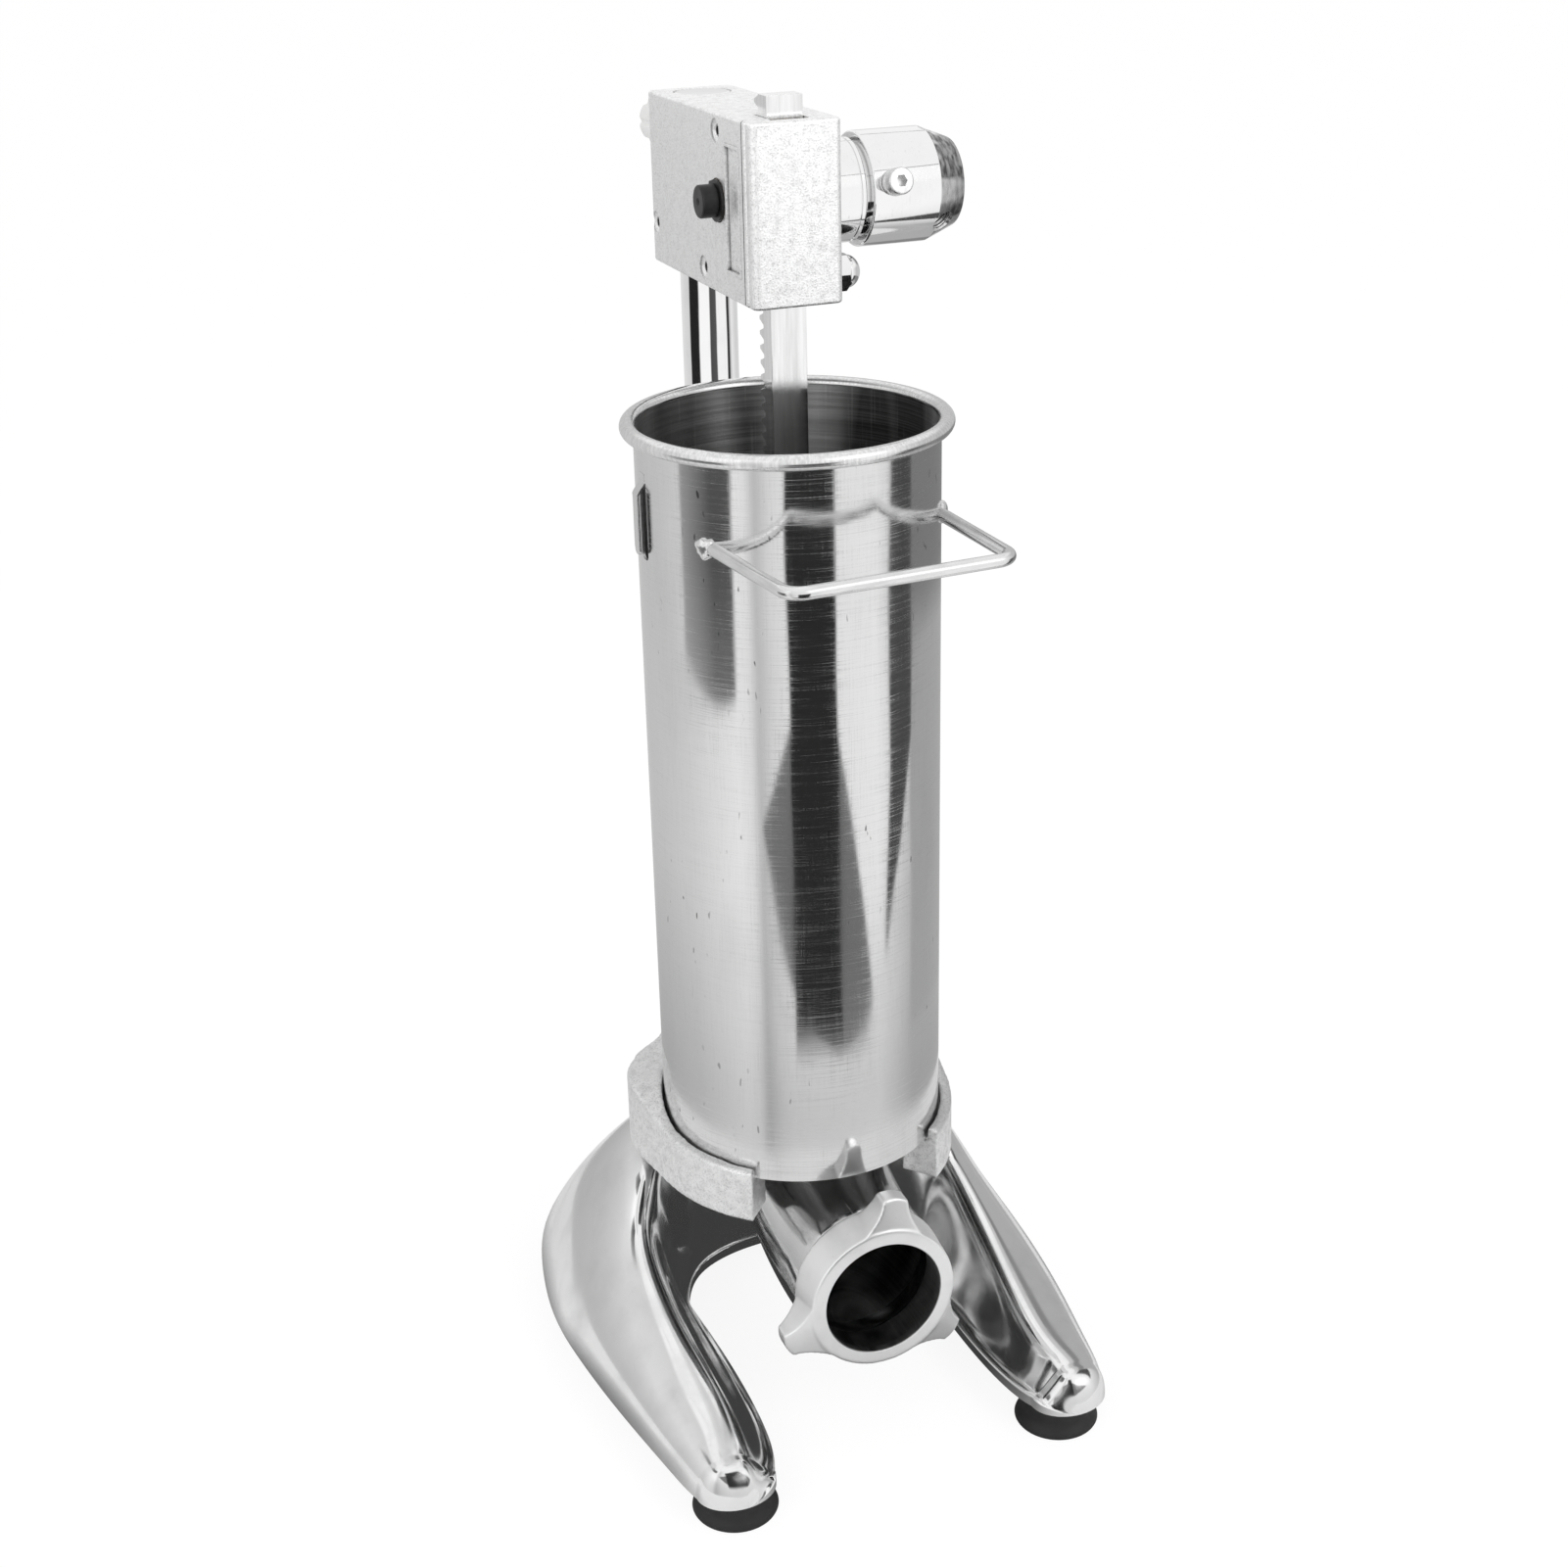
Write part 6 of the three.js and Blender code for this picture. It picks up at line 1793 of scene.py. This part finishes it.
@dataclass
class PistonRack(Assembly):
    """The toothed rack with the piston on its lower end."""

    width: float = 14.0 * MM
    front: float = -4.0 * MM
    back: float = RACK_BACK
    top: float = 520.4 * MM
    bottom: float = 126.3 * MM
    stud_bottom: float = 112.3 * MM
    stud_radius: float = 5.0 * MM
    plain_end: float = 38.0 * MM
    module: float = 1.75 * MM
    pressure_angle: float = 20.0
    pinion_z: float = PINION_Z
    piston_low: float = 112.0 * MM
    piston_high: float = 126.0 * MM
    piston_radius: float = 55.5 * MM
    seal_radius: float = 56.2 * MM
    seal_height: float = 5.0 * MM
    seal_depth: float = 4.0 * MM
    stud_bore: float = 5.3 * MM
    nut_recess: float = 11.6 * MM
    recess_depth: float = 8.2 * MM
    disc_edge: float = 0.8 * MM
    low_edge: float = 0.4 * MM

    def outline(self) -> list[Pair]:
        """The rack seen from its side, with straight-sided teeth on its back."""
        pitch = math.pi * self.module
        depth = 2.25 * self.module
        slope = math.tan(math.radians(self.pressure_angle))
        tip = pitch / 4 - self.module * slope
        root = pitch / 4 + (depth - self.module) * slope
        low = self.back - depth
        lowest = math.ceil((self.bottom + self.plain_end - self.pinion_z) / pitch)
        highest = math.floor((self.top - self.pinion_z) / pitch - 1)
        plain = self.bottom + self.plain_end - pitch
        points = [(self.front, self.bottom), (self.back, self.bottom), (self.back, plain), (low, plain)]
        for tooth in range(lowest, highest + 1):
            middle = self.pinion_z + (tooth + 0.5) * pitch
            points += [(low, middle - root), (self.back, middle - tip)]
            points += [(self.back, middle + tip), (low, middle + root)]
        return [*points, (low, self.top), (self.front, self.top)]

    def rack(self) -> bpy.types.Object:
        """The rack with broken edges and a stud for the piston."""
        half = self.width / 2
        body = extruded("toothed_rack", self.outline(), -half, half, Lay.RIGHT.matrix((0, AXIS_Y, 0)))
        soften(body, 0.35 * MM, 2, 50)
        stud = bar(self.stud_radius, self.stud_bottom, self.bottom + OVERRUN, Lay.UP.matrix((0, AXIS_Y, 0)))
        return combine(body, stud, how="UNION")

    def piston(self) -> bpy.types.Object:
        """The disc with its seal groove and a recess for the nut."""
        outer, e = self.piston_radius, self.disc_edge
        groove = outer - self.seal_depth
        low = (self.piston_low + self.piston_high - self.seal_height) / 2
        high = low + self.seal_height
        recess_top = self.piston_low + self.recess_depth
        profile = [
            (self.stud_bore, self.piston_high), (self.stud_bore, recess_top),
            (self.nut_recess, recess_top), (self.nut_recess, self.piston_low),
            (outer - self.low_edge, self.piston_low), (outer, self.piston_low + self.low_edge),
            (outer, low), (groove, low), (groove, high), (outer, high),
            *arc(outer - e, self.piston_high - e, e, 0, 90),
        ]
        return revolved("piston_plate", profile, Lay.UP.matrix((0, AXIS_Y, 0)), 192)

    def seal(self) -> bpy.types.Object:
        """The pale lip seal."""
        low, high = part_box("piston_seal")
        inner = self.piston_radius - self.seal_depth + GAP
        corner = self.seal_radius - 0.6 * MM
        middle, half = (low.z + high.z) / 2, (high.z - low.z) / 2
        profile = [(inner, low.z), (corner, low.z)]
        for step in range(-5, 6):
            turn = math.pi / 2 * step / 6
            swell = self.seal_radius - 0.45 * MM * (1 - math.cos(turn))
            profile.append((swell, middle + half * math.sin(turn)))
        profile += [(corner, high.z), (inner, high.z)]
        return revolved("lip_seal", profile, Lay.UP.matrix((0, AXIS_Y, 0)), 192)

    def build(self) -> None:
        """Makes the rack, the piston and its seal."""
        self.settle(self.rack(), Body.PISTON, ["ground"], "rack")
        self.settle(self.piston(), Body.PISTON, ["satin"], "piston_disc")
        self.settle(self.seal(), Body.PISTON, ["seal"], "piston_seal")
        self.palette.repaint("piston_washer", "satin")
        self.palette.repaint("piston_nut", "satin")


def only_mirrored(card: bpy.types.Object) -> bpy.types.Object:
    """Hides a card from all rays but mirror reflections."""
    for ray in ("camera", "diffuse", "transmission", "volume_scatter", "shadow"):
        setattr(card, f"visible_{ray}", False)
    return card


def between(value: Signal, low: float, high: float, edge: float) -> Signal:
    """1 between two values, 0 outside, with soft edges."""
    return value.above(low - edge, low + edge) * (1.0 - value.above(high - edge, high + edge))


@dataclass
class Studio:
    """The camera, pale floor, soft light, and the dark and light cards that polished metal mirrors."""

    eye: Corner = (-306.6 * MM, -800.2 * MM, 619.6 * MM)
    right: Corner = (0.93076, -0.36501, -0.02133)
    up: Corner = (0.16205, 0.35952, 0.91895)
    lens: float = 53.45
    tent_radius: float = 250.0 * MM
    tent_height: float = 1000.0 * MM
    post_ring: float = 16.0 * MM
    card_radius: float = 165.0 * MM
    card_wobble: float = 4.0
    card_wave: float = 6.0
    card_span: float = 400.0 * MM
    floor_size: float = 14.0
    floor_glow: float = 1.05
    floor_share: float = 0.86
    room_level: float = 0.75
    post_foot: float = 145.0 * MM
    post_head: float = 447.0 * MM
    # Azimuths in degrees between which the plain cards stand
    left_span: Pair = (-79.0, -37.5)
    centre_span: Pair = (-2.5, 30.0)
    side_span: Pair = (92.5, 168.0)
    left_middle: float = -52.0
    left_half: float = 27.0
    # Azimuth from the camera's side in degrees, and the room's light level there
    room_levels: tuple[Pair, ...] = (
        (-180, 0.62), (-140, 0.62), (-95, 0.74), (-80, 0.78), (-38, 1.02), (-29, 0.95), (-23, 0.62),
        (-14, 0.85), (-4, 0.95), (32, 1.0), (60, 1.05), (72, 0.9), (95, 0.62), (140, 0.6), (180, 0.62),
    )
    post_levels: tuple[Pair, ...] = (
        (-180, 0.8), (-100, 0.8), (-60, 0.72), (-58, 0.02), (-30, 0.02), (-27, 1.05), (0, 1.05), (2, 0.08),
        (18, 0.1), (20, 1.0), (49, 1.0), (51, 0.03), (58, 0.03), (60, 0.5), (68, 0.9), (90, 0.7), (180, 0.8),
    )
    # Edges of the shaped cards: height in metres and azimuth
    kite_left: tuple[Pair, ...] = (
        (0.055, 23), (0.066, 12), (0.095, -5), (0.14, -16), (0.174, -23), (0.223, -3),
    )
    kite_right: tuple[Pair, ...] = ((0.055, 34), (0.064, 48), (0.08, 55), (0.173, 39), (0.223, 29))
    wedge_left: tuple[Pair, ...] = ((0.1, 66), (0.2, 71), (0.37, 72.5))
    wedge_right: tuple[Pair, ...] = ((0.1, 67), (0.158, 82), (0.206, 92.5), (0.37, 92.5))

    def camera(self) -> None:
        """A camera where the photographer stood."""
        lens = bpy.data.cameras.new("photo_view")
        lens.lens = self.lens
        lens.sensor_width = 36.0
        lens.clip_start = 0.02
        lens.clip_end = 40.0
        viewer = bpy.data.objects.new("photo_view", lens)
        right, up = Vector(self.right), Vector(self.up)
        turn = Matrix((right, up, right.cross(up))).transposed().to_4x4()
        viewer.matrix_world = Matrix.Translation(self.eye) @ turn
        bpy.context.scene.collection.objects.link(viewer)
        bpy.context.scene.camera = viewer

    def floor(self) -> bpy.types.Object:
        """A wide pale floor that shows the camera almost white, with the machine's shadow."""
        size = self.floor_size
        corners = [(-size, -size, 0), (size, -size, 0), (size, size, 0), (-size, size, 0)]
        floor = link("floor", corners, [(0, 1, 2, 3)])
        material, graph = new_material("pale_floor")
        matt = graph.add("ShaderNodeBsdfDiffuse", None, {"Color": grey(0.9)})
        white = graph.add("ShaderNodeEmission", None, {"Color": grey(1.0), "Strength": self.floor_glow})
        seen = graph.add("ShaderNodeLightPath", None, None, "Is Camera Ray")
        surface = graph.add("ShaderNodeMixShader", None, {0: seen * self.floor_share, 1: matt, 2: white})
        graph.add("ShaderNodeOutputMaterial", None, {"Surface": surface})
        floor.data.materials.append(material)
        return floor

    def ring(self, name: str, y: float, radius: float, low: float,
             high: float) -> tuple[bpy.types.Object, Graph, Signal, Signal]:
        """A round wall of cards that only mirror reflections see.

        Args:
            name: its name.
            y: its axis.
            radius: its radius.
            low: its foot.
            high: its top.

        Returns:
            The wall, its node tree, the azimuth from the camera's side in degrees, and the height.
        """
        wall = revolved(name, [(radius, low), (radius, high), (radius + MM, high), (radius + MM, low)])
        wall.location = (0, y, 0)
        wall.rotation_euler = (0, 0, math.atan2(self.eye[1] - AXIS_Y, self.eye[0]))
        material, graph = new_material(name)
        wall.data.materials.append(material)
        place = {0: graph.place()}
        x, across, z = (graph.add("ShaderNodeSeparateXYZ", None, place, output=axis) for axis in range(3))
        return only_mirrored(wall), graph, across.math("ARCTAN2", x) * (180 / math.pi), z

    def dark_cards(self, graph: Graph, turn: Signal, z: Signal) -> list[tuple[Signal, Signal | float]]:
        """The dark cards round the machine.

        Args:
            graph: the tent's node tree.
            turn: the azimuth in degrees.
            z: the height in metres.

        Returns:
            For each card, from the lowest layer up, its shape as a mask and its light level.
        """
        side = between(turn, *self.side_span, 1.5) * z.above(0.045, 0.055)
        side_level = 0.45 - 0.2 * z.above(0.25, 0.28)
        lean = (turn - self.left_middle) / self.left_half
        left = between(turn, *self.left_span, 1.2) * (z - 0.232 - 0.02 * lean * lean).above(-0.003, 0.003)
        outer = 1.0 - turn.above(self.left_span[0], self.left_middle)
        left_level = 0.1 + 0.28 * outer + 0.1 * (1.0 - z.above(0.23, 0.3))
        kite = self.bounded(graph, turn, z, self.kite_left, self.kite_right)
        wedge = self.bounded(graph, turn, z, self.wedge_left, self.wedge_right)
        centre = between(turn, *self.centre_span, 0.8) * z.above(0.05, 0.075)
        return [(side, side_level), (left, left_level), (kite, 0.2), (wedge, 0.08), (centre, 0.028)]

    def tent(self) -> bpy.types.Object:
        """The light room and the dark cards round the machine, which end below the cylinder's rim."""
        radius, high = self.tent_radius, self.tent_height
        wall, graph, azimuth, z = self.ring("reflection_cards", AXIS_Y, radius, MM, high)
        turn = azimuth + (graph.noise(9.0, 3.0) - 0.5) * self.card_wobble
        room = self.levels(graph, turn, self.room_levels)
        level = room * (0.74 + 0.26 * z.above(0.02, 0.14))
        upper, over = z.above(0.365, 0.375), z.above(0.5, 0.56)
        ceiling = 1.0 - 0.7 * between(z, 0.66, 0.668, 0.002)
        for mask, shown in (*self.dark_cards(graph, turn, z), (upper, room), (over, ceiling)):
            level = level * (1.0 - mask) + mask * shown
        self.light(graph, level)
        return wall

    @staticmethod
    def light(graph: Graph, level: Signal) -> None:
        """Makes a card shine at a level."""
        glow = graph.add("ShaderNodeEmission", None, {"Color": grey(1.0), "Strength": level})
        graph.add("ShaderNodeOutputMaterial", None, {"Surface": glow})

    def post_cards(self) -> bpy.types.Object:
        """Narrow dark cards round the post, whose mirror images are the dark stripes along it."""
        low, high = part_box("post")
        middle, radius = (low.y + high.y) / 2, self.post_ring
        wall, graph, azimuth, _ = self.ring("post_cards", middle, radius, self.post_foot, self.post_head)
        turn = azimuth + (graph.noise(30.0, 2.0) - 0.5) * self.card_wave
        self.light(graph, self.levels(graph, turn, self.post_levels))
        return wall

    def levels(self, graph: Graph, turn: Signal, table: Sequence[Pair]) -> Signal:
        """The light level round a wall, from (azimuth in degrees, level) pairs."""
        stops = [((angle + 180) / 360, level) for angle, level in table]
        return graph.add("ShaderNodeValToRGB", {"stops": stops}, {0: turn / 360 + 0.5})

    def bounded(self, graph: Graph, turn: Signal, height: Signal, low: Sequence[Pair],
                high: Sequence[Pair]) -> Signal:
        """A card between two edges.

        Args:
            graph: the card's node tree.
            turn: the azimuth in degrees.
            height: the height in metres.
            low: the left edge as (height, azimuth) pairs, upwards.
            high: the right edge.

        Returns:
            1 on the card and 0 beside it.
        """
        edges = []
        share = {0: height / self.card_span}
        for edge in (low, high):
            stops = [(at / self.card_span, (angle + 180) / 360) for at, angle in edge]
            edges.append(graph.add("ShaderNodeValToRGB", {"stops": stops}, share) * 360 - 180)
        across = (turn - edges[0]).above(-1, 1) * (edges[1] - turn).above(-1, 1)
        foot, head = max(low[0][0], high[0][0]), min(low[-1][0], high[-1][0])
        begun, ended = height.above(foot - 0.002, foot + 0.002), height.above(head - 0.003, head + 0.003)
        return across * begun * (1.0 - ended)

    def painted_shadow_card(self) -> bpy.types.Object:
        """A dark card on the floor between the legs: a painted shadow under the machine. Only mirror
        reflections see it.
        """
        card = revolved("painted_shadow_card", [
            (0, 0.0005), (self.card_radius, 0.0005), (self.card_radius, 0.0004), (0, 0.0004),
        ], Matrix.Identity(4), 64)
        material, graph = new_material("painted_shadow_card")
        far = graph.add("ShaderNodeVectorMath", {"operation": "LENGTH"}, {0: graph.place()}, "Value")
        # Painted shadow: darkest under the machine, lighter towards the card's edge, where it fades out.
        level = 0.05 + 0.3 * far.above(0.08, 0.15)
        dark = graph.add("ShaderNodeEmission", None, {"Color": grey(1.0), "Strength": level})
        clear = graph.add("ShaderNodeBsdfTransparent")
        edge = far.above(self.card_radius * 0.6, self.card_radius * 0.98)
        surface = graph.add("ShaderNodeMixShader", None, {0: edge, 1: dark, 2: clear})
        graph.add("ShaderNodeOutputMaterial", None, {"Surface": surface})
        card.data.materials.append(material)
        return only_mirrored(card)

    def world(self) -> None:
        """Even soft light, white behind the machine."""
        world = bpy.data.worlds.new("soft_room")
        bpy.context.scene.world = world
        world.use_nodes = True
        graph = Graph(world.node_tree)
        seen = graph.add("ShaderNodeLightPath", None, None, "Is Camera Ray")
        mirrored = graph.add("ShaderNodeLightPath", None, None, "Is Glossy Ray")
        level = self.room_level + seen.math("MAXIMUM", mirrored) * (1.0 - self.room_level)
        sky = graph.add("ShaderNodeBackground", None, {"Color": grey(1.0), "Strength": level})
        graph.add("ShaderNodeOutputWorld", None, {"Surface": sky})

    def lamp(self, name: str, place: Corner, size: float, power: float) -> None:
        """A soft square lamp that faces the machine's middle.

        Args:
            name: its name.
            place: where it hangs.
            size: its side in metres.
            power: its power in watts.
        """
        light = bpy.data.lights.new(name, "AREA")
        light.size = size
        light.energy = power
        lamp = bpy.data.objects.new(name, light)
        lamp.location = place
        lamp.rotation_euler = (Vector((0, 0, 0.25)) - Vector(place)).to_track_quat("-Z", "Y").to_euler()
        bpy.context.scene.collection.objects.link(lamp)

    def build(self) -> None:
        """Sets up the whole studio."""
        self.camera()
        self.floor()
        self.tent()
        self.post_cards()
        self.painted_shadow_card()
        self.world()
        self.lamp("key", (0.7, -1.3, 1.2), 0.7, 7.0)
        self.lamp("fill", (-1.2, -0.8, 1.1), 0.7, 5.0)
        view = bpy.context.scene.view_settings
        view.view_transform = "Standard"


def main() -> None:
    """Builds the studio and every sub-assembly."""
    Studio().build()
    palette = Palette()
    order = (HorseshoeBase, Cradle, DoughCylinder, Outlet, Post, GearHead, CrankDrive, ClampKnob, PistonRack)
    for assembly in order:
        log.info("building %s", assembly.__name__)
        assembly(palette).build()


if __name__ == "__main__":
    main()
